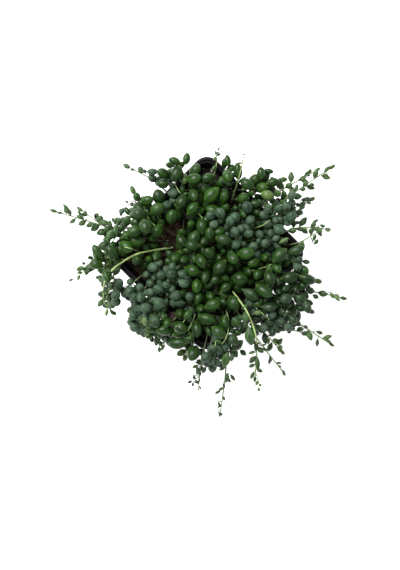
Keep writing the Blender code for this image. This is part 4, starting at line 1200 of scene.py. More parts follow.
def shoot(station, side, draw):
    """The course of a side shoot from a station on a stem."""
    point, tangent, _ = station
    turn = side * draw.uniform(*SHOOT_TURN)
    heading = leaf_direction(tangent, turn, math.radians(draw.uniform(*SHOOT_LEAN)))
    stride = draw.uniform(*SHOOT_LENGTH) / SHOOT_STEPS
    course = [point]
    for _ in range(SHOOT_STEPS):
        heading = heading + np.array([draw.uniform(-SHOOT_BEND, SHOOT_BEND) for _ in range(3)])
        heading = heading / np.linalg.norm(heading)
        course.append(course[-1] + stride * heading)
    return np.array(course)


def finished(bm, name, finishes):
    """An object in metres from a mesh drawn in millimetres, shaded smooth."""
    bmesh.ops.recalc_face_normals(bm, faces=bm.faces)
    bm.transform(Matrix.Scale(MM, 4))
    mesh = bpy.data.meshes.new(name)
    bm.to_mesh(mesh)
    bm.free()
    mesh.shade_smooth()
    for finish in finishes:
        mesh.materials.append(finish)
    obj = bpy.data.objects.new(name, mesh)
    bpy.context.scene.collection.objects.link(obj)
    return obj


def parts_of(made, kind):
    """The parts of one kind among what a mesh operator made."""
    return [part for part in made if isinstance(part, kind)]


def dressed(obj, slot, *nodes):
    """Puts a piece on the body, for the nodes that it stands for; the record's slot of its finish is not
    used.
    """
    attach(obj, "root")
    if nodes:
        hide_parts(*nodes)
    return obj


def subdivided(obj):
    """One level of subdivision, the same in the view and in the render."""
    rounding = obj.modifiers.new("Rounding", "SUBSURF")
    rounding.levels = 1
    rounding.render_levels = 1
    return obj


def growth_layers(bm):
    """Where a point lies on its leaf, the leaf's tint, which holds painted shade in places, and how near it
    is to the tip of its string.
    """
    vectors = bm.verts.layers.float_vector
    floats = bm.verts.layers.float
    return (
        vectors.get("leaf_place") or vectors.new("leaf_place"),
        floats.get("leaf_tint") or floats.new("leaf_tint"),
        floats.get("growth_age") or floats.new("growth_age"),
    )


def leaf_frame(direction, roll):
    """Axes of a leaf: its length along the direction, and its upper side turned up, give or take a roll."""
    along = Vector(direction).normalized()
    up = Vector((0, 0, 1)) if abs(along.z) < NEARLY_UPRIGHT else Vector((1, 0, 0))
    across = up.cross(along).normalized()
    across.rotate(Matrix.Rotation(roll, 3, along))
    return Matrix((across, along.cross(across), along)).transposed().to_4x4()


def add_leaf(bm, kind, leaf, age, draw, shade):
    """Adds a leaf to a mesh: a lemon shape on a short stalk, a little bent, with a pointed tip."""
    base, direction, length, width = leaf
    place, tint, growth_age = growth_layers(bm)
    rings = FINE_RINGS[kind]
    bands = len(rings) + 1
    bend = draw.uniform(*LEAF_BEND) * length
    verts = bmesh.ops.create_uvsphere(bm, u_segments=FINE_SIDES[kind], v_segments=bands, radius=1.0)["verts"]
    for vert in verts:
        ring = round(math.acos(max(-1.0, min(1.0, -vert.co.z))) / math.pi * bands)
        at, share = rings[ring - 1] if 0 < ring < bands else (float(ring == bands), 0.0)
        side = vert.co.xy.normalized() * share if share else Vector((0, 0))
        vert[place] = (side.x, side.y, at)
        vert[tint] = shade
        vert[growth_age] = age
        vert.co = (side.x * width / 2, side.y * width / 2 * FINE_DEPTH[kind] + bend * at * at, length * at)
    turn = leaf_frame(direction, draw.uniform(-LEAF_ROLL, LEAF_ROLL))
    bmesh.ops.transform(bm, matrix=Matrix.Translation(Vector(base)) @ turn, verts=verts)


def add_tube(bm, course, thick, ages):
    """Adds a closed tube along a course to a mesh, with its radius and age going from root to tip."""
    growth_age = growth_layers(bm)[2]
    shares = np.linspace(0, 1, len(course))
    across = Vector((1, 0, 0))
    rings = []
    place = Matrix()
    for i, share in enumerate(shares):
        ahead = Vector(course[min(i + 1, len(course) - 1)] - course[max(i - 1, 0)]).normalized()
        across = (across - ahead * across.dot(ahead)).normalized()
        radius = thick[0] + (thick[1] - thick[0]) * share
        turn = Matrix((across, ahead.cross(across), ahead)).transposed().to_4x4()
        target = Matrix.Translation(Vector(course[i])) @ turn @ Matrix.Scale(radius, 4)
        if i == 0:
            verts = bmesh.ops.create_circle(bm, segments=FINE_STEM_SIDES, radius=1.0, matrix=target)["verts"]
            edges = list({edge for vert in verts for edge in vert.link_edges})
            faces = bmesh.ops.contextual_create(bm, geom=edges)["faces"]
        else:
            made = bmesh.ops.extrude_edge_only(bm, edges=edges)["geom"]
            verts = parts_of(made, bmesh.types.BMVert)
            edges = parts_of(made, bmesh.types.BMEdge)
            faces += parts_of(made, bmesh.types.BMFace)
            bmesh.ops.transform(bm, matrix=target @ place.inverted(), verts=verts)
        place = target
        rings.append(verts)
        for vert in verts:
            vert[growth_age] = ages[0] + (ages[1] - ages[0]) * share
    faces += bmesh.ops.contextual_create(bm, geom=edges)["faces"]
    for face in faces:
        face.material_index = 1


def seated(leaf, curve):
    """A leaf with its base moved to the nearest point of the smooth stem, and its share of the way."""
    base, direction, length, width = leaf
    nearest = int(np.linalg.norm(curve - base, axis=1).argmin())
    along = base + np.asarray(direction) * length - curve[nearest]
    reach = float(np.linalg.norm(along))
    return (curve[nearest], along / reach, reach, width), nearest / (len(curve) - 1)


def string_piece(thicket, number, finishes):
    """A string: its stem, its leaves, those on stalks of their own and its side shoots, in one mesh."""
    name = thicket.names[number]
    kind = thicket.kinds[number]
    draw = random.Random(STRING_SEED + number)
    curve = smooth_curve(thicket.routes[number], STEM_CURVE_STEP)
    bm = bmesh.new()
    growth_layers(bm)
    outer = number < len(STRINGS)
    if name in BARE_STRINGS:
        shows, _, thick, ages = BARE_STRINGS[name]
        curve = lifted(curve, shows, thicket.balls[thicket.balls[:, 4] != number])
        add_tube(bm, curve, thick, ages)
    else:
        add_tube(bm, curve, STEM_THICK, OUTER_AGES if outer else MOUND_AGES)
    for leaf in thicket.leaves[number]:
        moved, share = seated(leaf, curve)
        # A leaf's tint is painted shade where its place lies in one of the dark patches
        add_leaf(bm, kind, moved, share if outer else share * MOUND_AGES[1], draw, leaf_tint(leaf, draw))
    for stalk, leaf, tint in thicket.hung[number]:
        add_tube(bm, stalk, STALK_THICK, STALK_AGES)
        shade = leaf_tint(leaf, draw) if tint is None else tint
        add_leaf(bm, kind, leaf, YOUNG_AGE if tint == YOUNG else STALK_AGES[1], draw, shade)
    for course in thicket.shoots[number]:
        twig = smooth_curve(course, STEM_CURVE_STEP)
        add_tube(bm, twig, SHOOT_THICK, SHOOT_AGES)
        shoot_leaves(bm, twig, draw)
    piece = subdivided(finished(bm, name + "_foliage", finishes))
    return dressed(piece, SLOTS[kind], name)


def loose_stems(balls, finishes):
    """Pale stems without leaves that lie over the foliage."""
    bm = bmesh.new()
    growth_layers(bm)
    for course in LOOSE_STEMS:
        add_tube(bm, smooth_curve(laid_over(course, balls), STEM_CURVE_STEP), LOOSE_THICK, LOOSE_AGES)
    return dressed(subdivided(finished(bm, "loose_stems", finishes)), "fresh_green_leaf")


def shoot_leaves(bm, twig, draw):
    """Adds small slim leaves to a side shoot, on alternate sides and at its tip."""
    length, width = SHOOT_LEAF
    for count, (point, tangent, share) in enumerate(leaf_stations(twig, SHOOT_SPACING)):
        turn = (-1 if count % 2 else 1) * draw.uniform(*SHOOT_LEAF_TURN)
        size = (1 - SHOOT_LEAF_FALL * share) * draw.uniform(*SHOOT_LEAF_SIZES)
        direction = leaf_direction(tangent, turn, math.radians(draw.uniform(*SHOOT_LEAF_LEAN)))
        add_leaf(bm, "slim", (point, direction, length * size, width * size), 1.0, draw, draw.random())
    ahead = twig[-1] - twig[-2]
    leaf = (twig[-1], ahead / np.linalg.norm(ahead), length * SHOOT_TIP_LEAF, width * SHOOT_TIP_LEAF)
    add_leaf(bm, "slim", leaf, 1.0, draw, draw.random())


def rounded_square(bm, side, radius, height):
    """A level face in the shape of a square with rounded corners."""
    verts = bmesh.ops.create_grid(bm, x_segments=1, y_segments=1, size=side / 2)["verts"]
    bmesh.ops.translate(bm, verts=verts, vec=(0, 0, height))
    bmesh.ops.bevel(
        bm, geom=verts, offset=radius, affect="VERTICES", segments=POT_CORNER_STEPS, profile=0.5, material=-1,
    )
    return bm.faces[:][0]


def risen(bm, face, side, was, rise):
    """The face after one step of an extrusion that changes its width and lifts it."""
    made = bmesh.ops.extrude_face_region(bm, geom=[face])["geom"]
    verts = parts_of(made, bmesh.types.BMVert)
    bmesh.ops.scale(bm, vec=(side / was, side / was, 1), verts=verts)
    bmesh.ops.translate(bm, vec=(0, 0, rise), verts=verts)
    bmesh.ops.delete(bm, geom=[face], context="FACES_ONLY")
    return parts_of(made, bmesh.types.BMFace)[0]


def make_pot(finish):
    """The pot: up the outside, out under the skirt, over the lip and down the inside to the floor."""
    inside_top = RIM_SIDE - 2 * LIP_WIDTH
    skirt_inside = RIM_SIDE - 2 * WALL
    wall_top = float(wall_side(POT_HEIGHT - LIP_DEPTH)) + 2 * WALL
    skirt_foot = POT_HEIGHT - LIP_DEPTH
    under_lip = POT_HEIGHT - LIP_STEP - WALL
    crest = RIM_SIDE - 2 * LIP_CURVE
    ledge = RIM_SIDE - LIP_CREST
    levels = (
        (BASE_SIDE, FOOT_CURVE),
        (wall_top, skirt_foot),
        (wall_top, under_lip),
        (skirt_inside, under_lip),
        (skirt_inside, skirt_foot),
        (RIM_SIDE, skirt_foot),
        (RIM_SIDE, POT_HEIGHT - LIP_CURVE),
        (crest, POT_HEIGHT),
        (ledge + LIP_STEP, POT_HEIGHT),
        (ledge, POT_HEIGHT - LIP_STEP),
        (inside_top + LIP_STEP, POT_HEIGHT - LIP_STEP),
        (inside_top, POT_HEIGHT - 2 * LIP_STEP),
        (float(wall_side(FLOOR)), FLOOR),
    )
    bm = bmesh.new()
    width = BASE_SIDE - 2 * FOOT_CURVE
    height = 0.0
    face = rounded_square(bm, width, BASE_RADIUS, height)
    bmesh.ops.duplicate(bm, geom=[face])
    for side, level in levels:
        face = risen(bm, face, side, width, level - height)
        width = side
        height = level
    bmesh.ops.remove_doubles(bm, verts=bm.verts, dist=0.001)
    bmesh.ops.recalc_face_normals(bm, faces=bm.faces)
    sharp = [edge for edge in bm.edges if edge.calc_face_angle(0.0) > POT_EDGE_ANGLE]
    bmesh.ops.bevel(
        bm, geom=sharp, offset=POT_EDGE, affect="EDGES", segments=2, profile=0.5, material=-1,
        clamp_overlap=True,
    )
    pot = finished(bm, "pot_shell", [finish])
    pot.data.set_sharp_from_angle(angle=POT_SMOOTH_ANGLE)
    cut(pot, drain_plugs())
    return dressed(pot, "black_plastic", "pot")


def drain_plugs():
    """Plugs for the drain holes: one in each corner of the floor and one by each side."""
    plugs = []
    for i in range(8):
        reach = CORNER_DRAIN_REACH if i % 2 else SIDE_DRAIN_REACH
        place = Matrix.Rotation(math.pi / 4 * i, 4, "Z") @ Matrix.Translation((reach, 0, FLOOR / 2))
        bm = bmesh.new()
        bmesh.ops.create_cone(
            bm, cap_ends=True, segments=DRAIN_STEPS, radius1=DRAIN_RADIUS, radius2=DRAIN_RADIUS,
            depth=4 * FLOOR, matrix=place,
        )
        plugs.append(finished(bm, "drain_plug", []))
    return plugs


def cut(obj, plugs):
    """Cuts the plugs out of an object in one Boolean, and removes them."""
    shelf = bpy.data.collections.new("plugs")
    bpy.context.scene.collection.children.link(shelf)
    for plug in plugs:
        bpy.context.scene.collection.objects.unlink(plug)
        shelf.objects.link(plug)
    boolean = obj.modifiers.new("Boolean", "BOOLEAN")
    boolean.operation = "DIFFERENCE"
    boolean.operand_type = "COLLECTION"
    boolean.collection = shelf
    boolean.solver = "MANIFOLD"
    result = bpy.data.meshes.new_from_object(obj.evaluated_get(bpy.context.evaluated_depsgraph_get()))
    obj.modifiers.clear()
    obj.data = result
    for plug in plugs:
        bpy.data.objects.remove(plug, do_unlink=True)
    bpy.data.collections.remove(shelf)


def soil_side(height):
    """The width of the potting mix at a height, a gap short of the wall on each side."""
    return float(wall_side(height)) - 2 * GAP


def crumb_height(x, y):
    """The height of the mix at a place, with the crumbs and hollows of loose peat."""
    place = Vector((x, y, 0.0))
    coarse = noise.fractal(place * CRUMB_WAVES, *CRUMB_FRACTAL)
    fine = noise.noise(place * FINE_CRUMB_WAVES)
    return float(soil_height(np.array([x, y]))) + CRUMBS * coarse + FINE_CRUMBS * fine


def in_rounded_square(x, y, side, radius):
    """A place pulled in to the rounded corner of a square, if it lies outside it."""
    corner = side / 2 - radius
    over = Vector((max(abs(x) - corner, 0), max(abs(y) - corner, 0)))
    if over.length > radius:
        over *= radius / over.length
    inner = Vector((min(abs(x), corner), min(abs(y), corner)))
    return math.copysign(inner.x + over.x, x), math.copysign(inner.y + over.y, y)


def make_mix(finish):
    """The potting mix: a crumbly top, closed down the sides and across the foot."""
    side = soil_side(POT_HEIGHT - SOIL_DROP)
    bm = bmesh.new()
    bmesh.ops.create_grid(bm, x_segments=MIX_STEPS, y_segments=MIX_STEPS, size=side / 2)
    for vert in bm.verts:
        x, y = in_rounded_square(vert.co.x, vert.co.y, side, MIX_RADIUS)
        vert.co = (x, y, crumb_height(x, y))
    rim = [edge for edge in bm.edges if edge.is_boundary]
    made = bmesh.ops.extrude_edge_only(bm, edges=rim)["geom"]
    foot = parts_of(made, bmesh.types.BMVert)
    share = soil_side(FLOOR + GAP) / side
    for vert in foot:
        vert.co = (vert.co.x * share, vert.co.y * share, FLOOR + GAP)
    bmesh.ops.contextual_create(bm, geom=[edge for edge in bm.edges if edge.is_boundary])
    return dressed(finished(bm, "peat", [finish]), "potting_mix", "potting_mix")


def scattered(draw, count, margin):
    """Places over the mix, within a margin of the wall."""
    half = RIM_SIDE / 2 - LIP_WIDTH - margin
    for _ in range(count):
        x, y = in_rounded_square(draw.uniform(-half, half), draw.uniform(-half, half), 2 * half, RIM_RADIUS)
        yield x, y


def add_lump(bm, place, size, draw):
    """Adds a rough lump: a ball of few faces with its points pushed about, scaled and turned."""
    verts = bmesh.ops.create_icosphere(bm, subdivisions=1, radius=0.5)["verts"]
    for vert in verts:
        vert.co *= draw.uniform(*LUMP_ROUGHNESS)
    turn = Matrix.Rotation(draw.uniform(0, math.tau), 4, "Z")
    turn = turn @ Matrix.Rotation(draw.uniform(-LUMP_TILT, LUMP_TILT), 4, "X")
    lie = Matrix.Translation(Vector(place)) @ turn @ Matrix.Diagonal((*size, 1))
    bmesh.ops.transform(bm, matrix=lie, verts=verts)


def make_lumps(name, finish, count, sizes, sink, seed):
    """Loose pieces on the mix, such as bark or white grains, each of its own size."""
    draw = random.Random(seed)
    bm = bmesh.new()
    for x, y in scattered(draw, count, sizes[0][1] / 2):
        scale = draw.random() ** 2
        size = [low + (high - low) * scale for low, high in sizes]
        add_lump(bm, (x, y, crumb_height(x, y) + size[2] * (0.5 - sink)), size, draw)
    return dressed(finished(bm, name, [finish]), "potting_mix")


def make_lip_flake(finish):
    """A flake of bark that lies on the lip."""
    bm = bmesh.new()
    place = (*spot(*LIP_FLAKE), POT_HEIGHT + LIP_FLAKE_SIZE[2] / 2)
    add_lump(bm, place, LIP_FLAKE_SIZE, random.Random(FLAKE_SEED))
    return dressed(finished(bm, "lip_flake", [finish]), "potting_mix")


def make_fibres(finish):
    """Thin bent fibres that lie on the mix."""
    draw = random.Random(FIBRE_SEED)
    bm = bmesh.new()
    growth_layers(bm)
    for x, y in scattered(draw, FIBRES, FIBRE_LENGTH):
        heading = draw.uniform(0, math.tau)
        course = []
        for _ in range(FIBRE_STEPS + 1):
            course.append((x, y, crumb_height(x, y) + draw.uniform(*FIBRE_LIFT)))
            heading += draw.uniform(-FIBRE_BEND, FIBRE_BEND)
            x += FIBRE_LENGTH / FIBRE_STEPS * math.cos(heading)
            y += FIBRE_LENGTH / FIBRE_STEPS * math.sin(heading)
        add_tube(bm, np.array(course), (FIBRE_RADIUS, FIBRE_RADIUS / 2), (0.0, 0.0))
    for face in bm.faces:
        face.material_index = 0
    return dressed(finished(bm, "root_fibres", [finish]), "potting_mix")


class Finish:
    """A material with the nodes that its colour and its surface come from."""

    def __init__(self, name):
        self.made = bpy.data.materials.new(name)
        self.made.use_nodes = True
        self.tree = self.made.node_tree

    def fill(self, node, inputs):
        """Gives a node's inputs numbers, colours or other nodes' outputs."""
        for where, value in inputs.items():
            if isinstance(value, bpy.types.NodeSocket):
                self.tree.links.new(value, node.inputs[where])
            elif node.inputs[where].type == "RGBA":
                node.inputs[where].default_value = (*value, 1.0)
            else:
                node.inputs[where].default_value = value

    def node(self, kind, inputs, **settings):
        """A new node with its settings and its inputs."""
        made = self.tree.nodes.new(kind)
        for key, value in settings.items():
            setattr(made, key, value)
        self.fill(made, inputs)
        return made

    def surfaced(self, inputs):
        """The material, once its shader has these inputs."""
        self.fill(self.tree.nodes["Principled BSDF"], inputs)
        return self.made

    def math(self, operation, first, second=0.0):
        """The outcome of a sum on one or two values."""
        return self.node("ShaderNodeMath", {0: first, 1: second}, operation=operation).outputs[0]

    def times(self, first, second):
        """Two values multiplied."""
        return self.math("MULTIPLY", first, second)

    def plus(self, first, second):
        """Two values added."""
        return self.math("ADD", first, second)

    def mixed(self, share, first, second):
        """A colour between two others."""
        return self.node("ShaderNodeMix", {0: share, 6: first, 7: second}, data_type="RGBA").outputs[2]

    def between(self, value, ends, low, high):
        """A value that goes smoothly from low to high while another goes from end to end."""
        inputs = {0: value, 1: ends[0], 2: ends[1], 3: low, 4: high}
        return self.node("ShaderNodeMapRange", inputs, interpolation_type="SMOOTHSTEP").outputs[0]

    def rise(self, value, ends, most=1.0):
        """A value that goes from 0 to the most while another goes from end to end."""
        return self.between(value, ends, 0.0, most)

    def fall(self, value, ends, most=1.0):
        """A value that goes from the most to 0 while another goes from end to end."""
        return self.between(value, ends, most, 0.0)

    def speckle(self, scale, detail, roughness=0.5):
        """A noise on the object's own coordinates."""
        place = self.node("ShaderNodeTexCoord", {}).outputs["Object"]
        inputs = {"Vector": place, "Scale": scale, "Detail": detail, "Roughness": roughness}
        return self.node("ShaderNodeTexNoise", inputs).outputs[0]

    def bump(self, height, strength, distance):
        """A bumpy surface from a height."""
        inputs = {"Height": height, "Strength": strength, "Distance": distance}
        return self.node("ShaderNodeBump", inputs).outputs[0]

    def attribute(self, name, output="Fac"):
        """One output of an attribute of the mesh."""
        return self.node("ShaderNodeAttribute", {}, attribute_name=name).outputs[output]


def leaf_finish(name, dark, light, window, stalk, bloom, roughness):
    """A living leaf: its own shade of green, darkened as painted shade in parts of the foliage, mottled, with
    a darker window along its upper side between two pale lines, fine veins, a pale stalk, a brown point, and
    a waxy bloom in patches."""
    skin = Finish(name)
    place = skin.attribute("leaf_place", "Vector")
    across, up, along = skin.node("ShaderNodeSeparateXYZ", {0: place}).outputs
    turn = skin.math("ABSOLUTE", skin.math("ARCTAN2", across, up))
    mottle = skin.speckle(*LEAF_MOTTLE)
    # The tint attribute carries painted shade for the leaves of the dark patches
    shade = skin.plus(skin.times(skin.attribute("leaf_tint"), TINT_SHARE), skin.times(mottle, MOTTLE_SHARE))
    body = skin.mixed(shade, dark, light)
    middle = skin.times(skin.rise(along, WINDOW_FROM), skin.fall(along, WINDOW_UNTIL))
    pane = skin.times(skin.fall(turn, WINDOW_EDGE), middle)
    body = skin.mixed(skin.times(pane, WINDOW_SHARE), body, window)
    line = skin.times(skin.rise(turn, LINE_FROM), skin.fall(turn, LINE_UNTIL))
    body = skin.mixed(skin.times(skin.times(line, middle), LINE_SHARE), body, light)
    stripes = skin.math("SINE", skin.times(turn, VEINS))
    body = skin.mixed(skin.times(skin.rise(stripes, VEIN_EDGE, VEIN_SHARE), middle), body, dark)
    youth = skin.math("POWER", skin.attribute("growth_age"), YOUTH_POWER)
    body = skin.mixed(skin.times(youth, YOUTH_SHARE), body, stalk)
    patch = skin.rise(skin.speckle(*BLOOM_PATCHES), BLOOM_EDGE, bloom)
    body = skin.mixed(patch, body, BLOOM_COLOUR)
    body = skin.mixed(skin.fall(along, STALK_UNTIL, STALK_SHARE), body, stalk)
    body = skin.mixed(skin.rise(along, POINT_FROM, POINT_SHARE), body, POINT_COLOUR)
    rough = skin.plus(skin.times(mottle, MOTTLE_DULL), roughness - MOTTLE_DULL / 2)
    return skin.surfaced({
        "Base Color": body,
        "Roughness": skin.plus(rough, skin.times(patch, BLOOM_DULL)),
        "Normal": skin.bump(skin.speckle(*LEAF_PORES), 0.12, LEAF_PORE_DEPTH),
        "Subsurface Weight": 0.12,
        "Subsurface Radius": (0.5, 1.0, 0.25),
        "Subsurface Scale": MM,
        "Specular IOR Level": LEAF_GLOSS,
    })


def stem_finish(name, old, young):
    """A stem: brownish where it is old, pale yellow-green where it is young, with fine streaks."""
    skin = Finish(name)
    streak = skin.speckle(*STEM_STREAKS)
    body = skin.mixed(skin.rise(skin.attribute("growth_age"), STEM_YOUTH), old, young)
    return skin.surfaced({
        "Base Color": skin.mixed(skin.rise(streak, STREAK_EDGE, STREAK_SHARE), body, old),
        "Roughness": 0.5,
        "Normal": skin.bump(streak, 0.3, STREAK_DEPTH),
        "Subsurface Weight": 0.08,
        "Subsurface Radius": (0.6, 1.0, 0.3),
        "Subsurface Scale": MM,
    })


def plastic_finish(name, colour, dusty, roughness):
    """Moulded plastic: fine grain, a film of dust in patches, and specks of soil."""
    plastic = Finish(name)
    film = plastic.rise(plastic.speckle(*POT_FILM), FILM_EDGE, FILM_SHARE)
    specks = plastic.rise(plastic.speckle(*POT_SPECKS), SPECK_EDGE, SPECK_SHARE)
    rough = plastic.plus(plastic.times(plastic.speckle(*POT_SCUFFS), SCUFF_DULL), roughness - SCUFF_DULL / 2)
    return plastic.surfaced({
        "Base Color": plastic.mixed(specks, plastic.mixed(film, colour, dusty), dusty),
        "Roughness": plastic.plus(rough, plastic.times(film, FILM_DULL)),
        "Normal": plastic.bump(plastic.speckle(*POT_GRAIN), 0.16, POT_GRAIN_DEPTH),
        "Specular IOR Level": POT_GLOSS,
    })


def crumbly_finish(name, dark, light, scale, depth, roughness):
    """A rough natural finish in two tones, such as peat, bark or a white grain."""
    crumb = Finish(name)
    grain = crumb.speckle(scale, 8.0, 0.7)
    patches = crumb.speckle(scale / 8, 2.0)
    tone = crumb.plus(crumb.times(grain, CRUMB_GRAIN), crumb.times(patches, CRUMB_PATCHES))
    return crumb.surfaced({
        "Base Color": crumb.mixed(crumb.rise(tone, CRUMB_EDGE), dark, light),
        "Roughness": roughness,
        "Normal": crumb.bump(grain, 0.8, depth),
    })


def lit_finish(name, colour, glow):
    """A plain matt sheet, lit a little from below."""
    sheet = {"Base Color": colour, "Emission Color": colour, "Emission Strength": glow, "Roughness": 1.0}
    return Finish(name).surfaced(sheet)


def colour_value(name, description, default):
    """A colour that a user would change."""
    return FloatVectorProperty(
        name=name, description=description, default=default, subtype="COLOR", min=0.0, max=1.0, size=3
    )


def number_value(name, description, default, least=0.0, unit="NONE"):
    """A number that a user would change."""
    return FloatProperty(name=name, description=description, default=default, min=least, unit=unit)


def count_value(name, description, default, most):
    """A count that a user would change."""
    return IntProperty(name=name, description=description, default=default, min=0, max=most)


def roughness_value(description, default):
    """A roughness that a user would change."""
    return FloatProperty(
        name="Roughness", description=description, default=default, min=0.1, max=1.0, subtype="FACTOR"
    )


class PotSettings(bpy.types.PropertyGroup):
    colour: colour_value("Plastic", "Colour of the pot's plastic", (0.005, 0.0045, 0.006))
    dust: colour_value("Dust", "Colour of the dust on the pot", (0.018, 0.0165, 0.02))
    roughness: roughness_value("Roughness of clean plastic", 0.36)


class MixSettings(bpy.types.PropertyGroup):
    peat_dark: colour_value("Wet peat", "Darkest colour of the peat", (0.003, 0.002, 0.0015))
    peat_light: colour_value("Dry peat", "Lightest colour of the peat", (0.03, 0.016, 0.009))
    bark_dark: colour_value("Dark bark", "Darkest colour of the bark", (0.012, 0.005, 0.003))
    bark_light: colour_value("Light bark", "Lightest colour of the bark", (0.085, 0.036, 0.02))
    grain: colour_value("White grains", "Colour of the white grains", (0.75, 0.72, 0.66))
    bark_count: count_value("Bark", "Number of bark flakes", 420, 2000)
    grit_count: count_value("Grit", "Number of dark crumbs", 900, 3000)
    grain_count: count_value("Grains", "Number of white grains", 90, 500)


class LeafSettings(bpy.types.PropertyGroup):
    plump_dark: colour_value("Plump, dark", "Darkest green of the plump leaves", (0.006, 0.024, 0.002))
    plump_light: colour_value("Plump, light", "Lightest green of the plump leaves", (0.03, 0.094, 0.008))
    round_dark: colour_value("Round, dark", "Darkest green of the round leaves", (0.012, 0.036, 0.018))
    round_light: colour_value("Round, light", "Lightest green of the round leaves", (0.056, 0.114, 0.058))
    slim_dark: colour_value("Slim, dark", "Darkest green of the slim leaves", (0.008, 0.028, 0.005))
    slim_light: colour_value("Slim, light", "Lightest green of the slim leaves", (0.062, 0.142, 0.034))
    window: colour_value("Window", "Colour of the translucent window", (0.004, 0.016, 0.004))
    stalk: colour_value("Stalk", "Colour of the leaf stalks and the youngest leaves", (0.13, 0.21, 0.055))
    roughness: roughness_value("Roughness of a clean leaf", 0.33)


class StemSettings(bpy.types.PropertyGroup):
    old: colour_value("Old stem", "Colour of a stem near its root", (0.03, 0.036, 0.012))
    young: colour_value("Young stem", "Colour of a stem near its tip", (0.42, 0.56, 0.2))


class StageSettings(bpy.types.PropertyGroup):
    floor: colour_value("Floor", "Colour of the floor", (0.92, 0.92, 0.92))
    glow: number_value("Glow", "Strength of the floor's light from below", 0.85)
    key_power: number_value("Key light", "Power of the soft light overhead", 17.5, unit="POWER")
    key_size: number_value("Key size", "Width of the soft light", 0.7, 0.05, "LENGTH")
    sky: number_value("Sky", "Strength of the light from all round", 0.43)


SETTINGS = {
    "pearls_pot": PotSettings,
    "pearls_mix": MixSettings,
    "pearls_leaf": LeafSettings,
    "pearls_stem": StemSettings,
    "pearls_stage": StageSettings,
}


class PEARLS_OT_pot(bpy.types.Operator):
    """Build the black nursery pot"""

    bl_idname = "pearls.pot"
    bl_label = "Pot"

    def execute(self, context):
        values = context.scene.pearls_pot
        make_pot(plastic_finish("black_plastic", values.colour, values.dust, values.roughness))
        return {"FINISHED"}


class PEARLS_OT_mix(bpy.types.Operator):
    """Build the potting mix with its bark, crumbs, white grains and fibres"""

    bl_idname = "pearls.mix"
    bl_label = "Potting mix"

    def execute(self, context):
        values = context.scene.pearls_mix
        shadow = tuple(GRAIN_SHADOW * part for part in values.grain)
        peat = crumbly_finish("moist_peat", values.peat_dark, values.peat_light, *PEAT_GRAIN)
        bark = crumbly_finish("pine_bark", values.bark_dark, values.bark_light, *BARK_GRAIN)
        grain = crumbly_finish("white_grain", shadow, values.grain, *PERLITE_GRAIN)
        make_mix(peat)
        make_lumps("bark_flakes", bark, values.bark_count, BARK, BARK_SINK, BARK_SEED)
        make_lumps("peat_crumbs", peat, values.grit_count, GRIT, GRIT_SINK, GRIT_SEED)
        make_lumps("white_grains", grain, values.grain_count, PERLITE, BARK_SINK, PERLITE_SEED)
        make_lip_flake(bark)
        make_fibres(bark)
        return {"FINISHED"}


def leaf_finishes(context):
    """The finish of each kind of leaf with that of the stems, made when they are first asked for."""
    leaf = context.scene.pearls_leaf
    stem = context.scene.pearls_stem
    stem_made = bpy.data.materials.get("living_stem") or stem_finish("living_stem", stem.old, stem.young)
    finishes = {}
    for kind, (name, bloom, dull) in LEAF_SKINS.items():
        greens = (getattr(leaf, kind + "_dark"), getattr(leaf, kind + "_light"))
        made = bpy.data.materials.get(name)
        made = made or leaf_finish(name, *greens, leaf.window, leaf.stalk, bloom, leaf.roughness + dull)
        finishes[kind] = [made, stem_made]
    finishes["tiny"] = finishes["slim"]
    return finishes


def build_strings(context, wanted):
    """Builds the strings whose numbers are wanted."""
    finishes = leaf_finishes(context)
    thicket = grown()
    for number in filter(wanted, range(len(thicket.names))):
        string_piece(thicket, number, finishes[thicket.kinds[number]])


class PEARLS_OT_outer_strings(bpy.types.Operator):
    """Build the strings that pass over the lip"""

    bl_idname = "pearls.outer_strings"
    bl_label = "Outer strings"

    def execute(self, context):
        build_strings(context, lambda number: number < len(STRINGS))
        return {"FINISHED"}


class PEARLS_OT_mound_strings(bpy.types.Operator):
    """Build the strings that stay within the lip"""

    bl_idname = "pearls.mound_strings"
    bl_label = "Mound strings"

    def execute(self, context):
        build_strings(context, lambda number: number >= len(STRINGS))
        loose_stems(grown().balls, leaf_finishes(context)["slim"])
        return {"FINISHED"}


class PEARLS_OT_stage(bpy.types.Operator):
    """Set up the floor, the lights and the camera"""

    bl_idname = "pearls.stage"
    bl_label = "Stage"

    def execute(self, context):
        values = context.scene.pearls_stage
        make_floor(lit_finish("pale_floor", values.floor, values.glow))
        make_key(values.key_power, values.key_size)
        make_sky(values.sky)
        make_camera()
        context.scene.view_settings.view_transform = "Standard"
        return {"FINISHED"}


def make_floor(finish):
    """A wide round floor that the pot stands on."""
    bm = bmesh.new()
    bmesh.ops.create_circle(bm, cap_ends=True, segments=FLOOR_SIDES, radius=FLOOR_REACH)
    floor = finished(bm, "floor", [finish])


def make_key(power, size):
    """A large soft light overhead, a little towards the top left of the picture."""
    light = bpy.data.lights.new("key", "AREA")
    light.energy = power
    light.size = size
    key = bpy.data.objects.new("key", light)
    key.location = (*spot(*KEY_PLAN) * MM, KEY_HEIGHT * MM)
    key.rotation_euler = (Vector((0, 0, POT_HEIGHT * MM)) - key.location).to_track_quat("-Z", "Y").to_euler()
    bpy.context.scene.collection.objects.link(key)


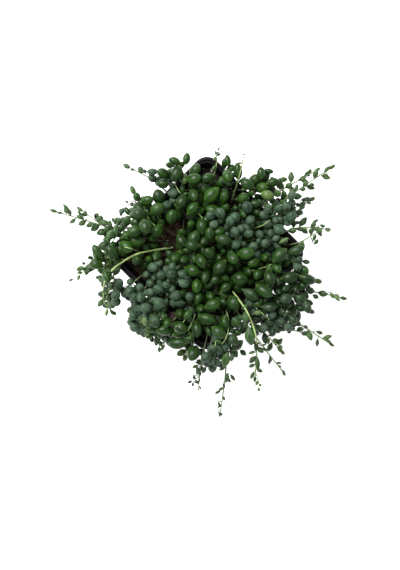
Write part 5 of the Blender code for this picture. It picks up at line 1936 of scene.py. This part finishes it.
def make_sky(strength):
    """Even light from all round."""
    world = bpy.data.worlds.new("studio")
    world.use_nodes = True
    background = world.node_tree.nodes["Background"]
    background.inputs["Color"].default_value = (1.0, 1.0, 1.0, 1.0)
    background.inputs["Strength"].default_value = strength
    bpy.context.scene.world = world


def make_camera():
    """A camera that looks straight down, with the pot's far corner to the top of the picture."""
    lens = bpy.data.cameras.new("camera")
    lens.sensor_width = SENSOR
    lens.lens = SENSOR * EYE_OVER_RIM / (VIEW_WIDTH * IMAGE_SIZE[1] / IMAGE_SIZE[0])
    camera = bpy.data.objects.new("camera", lens)
    camera.location = (*spot(*EYE_PLAN) * MM, (POT_HEIGHT + EYE_OVER_RIM) * MM)
    camera.rotation_euler = (0.0, 0.0, -math.pi / 4)
    bpy.context.scene.collection.objects.link(camera)
    bpy.context.scene.camera = camera


OPERATORS = (PEARLS_OT_pot, PEARLS_OT_mix, PEARLS_OT_outer_strings, PEARLS_OT_mound_strings, PEARLS_OT_stage)


class PEARLS_PT_panel(bpy.types.Panel):
    """The potted string of pearls, piece by piece"""

    bl_idname = "PEARLS_PT_panel"
    bl_label = "String of pearls"
    bl_space_type = "VIEW_3D"
    bl_region_type = "UI"
    bl_category = "Pearls"

    def draw(self, context):
        for name, group in SETTINGS.items():
            box = self.layout.box()
            values = getattr(context.scene, name)
            for field in group.__annotations__:
                box.prop(values, field)
        for operator in OPERATORS:
            self.layout.operator(operator.bl_idname)


def register():
    """Registers the settings, the operators and the panel."""
    for name, group in SETTINGS.items():
        bpy.utils.register_class(group)
        setattr(bpy.types.Scene, name, PointerProperty(type=group))
    for operator in OPERATORS:
        bpy.utils.register_class(operator)
    bpy.utils.register_class(PEARLS_PT_panel)


def unregister():
    """Takes them away again, last first."""
    bpy.utils.unregister_class(PEARLS_PT_panel)
    for operator in reversed(OPERATORS):
        bpy.utils.unregister_class(operator)
    for name, group in reversed(SETTINGS.items()):
        delattr(bpy.types.Scene, name)
        bpy.utils.unregister_class(group)


def main():
    """Builds every piece and the stage."""
    register()
    bpy.ops.pearls.stage()
    bpy.ops.pearls.pot()
    bpy.ops.pearls.mix()
    bpy.ops.pearls.outer_strings()
    bpy.ops.pearls.mound_strings()


if __name__ == "__main__":
    main()
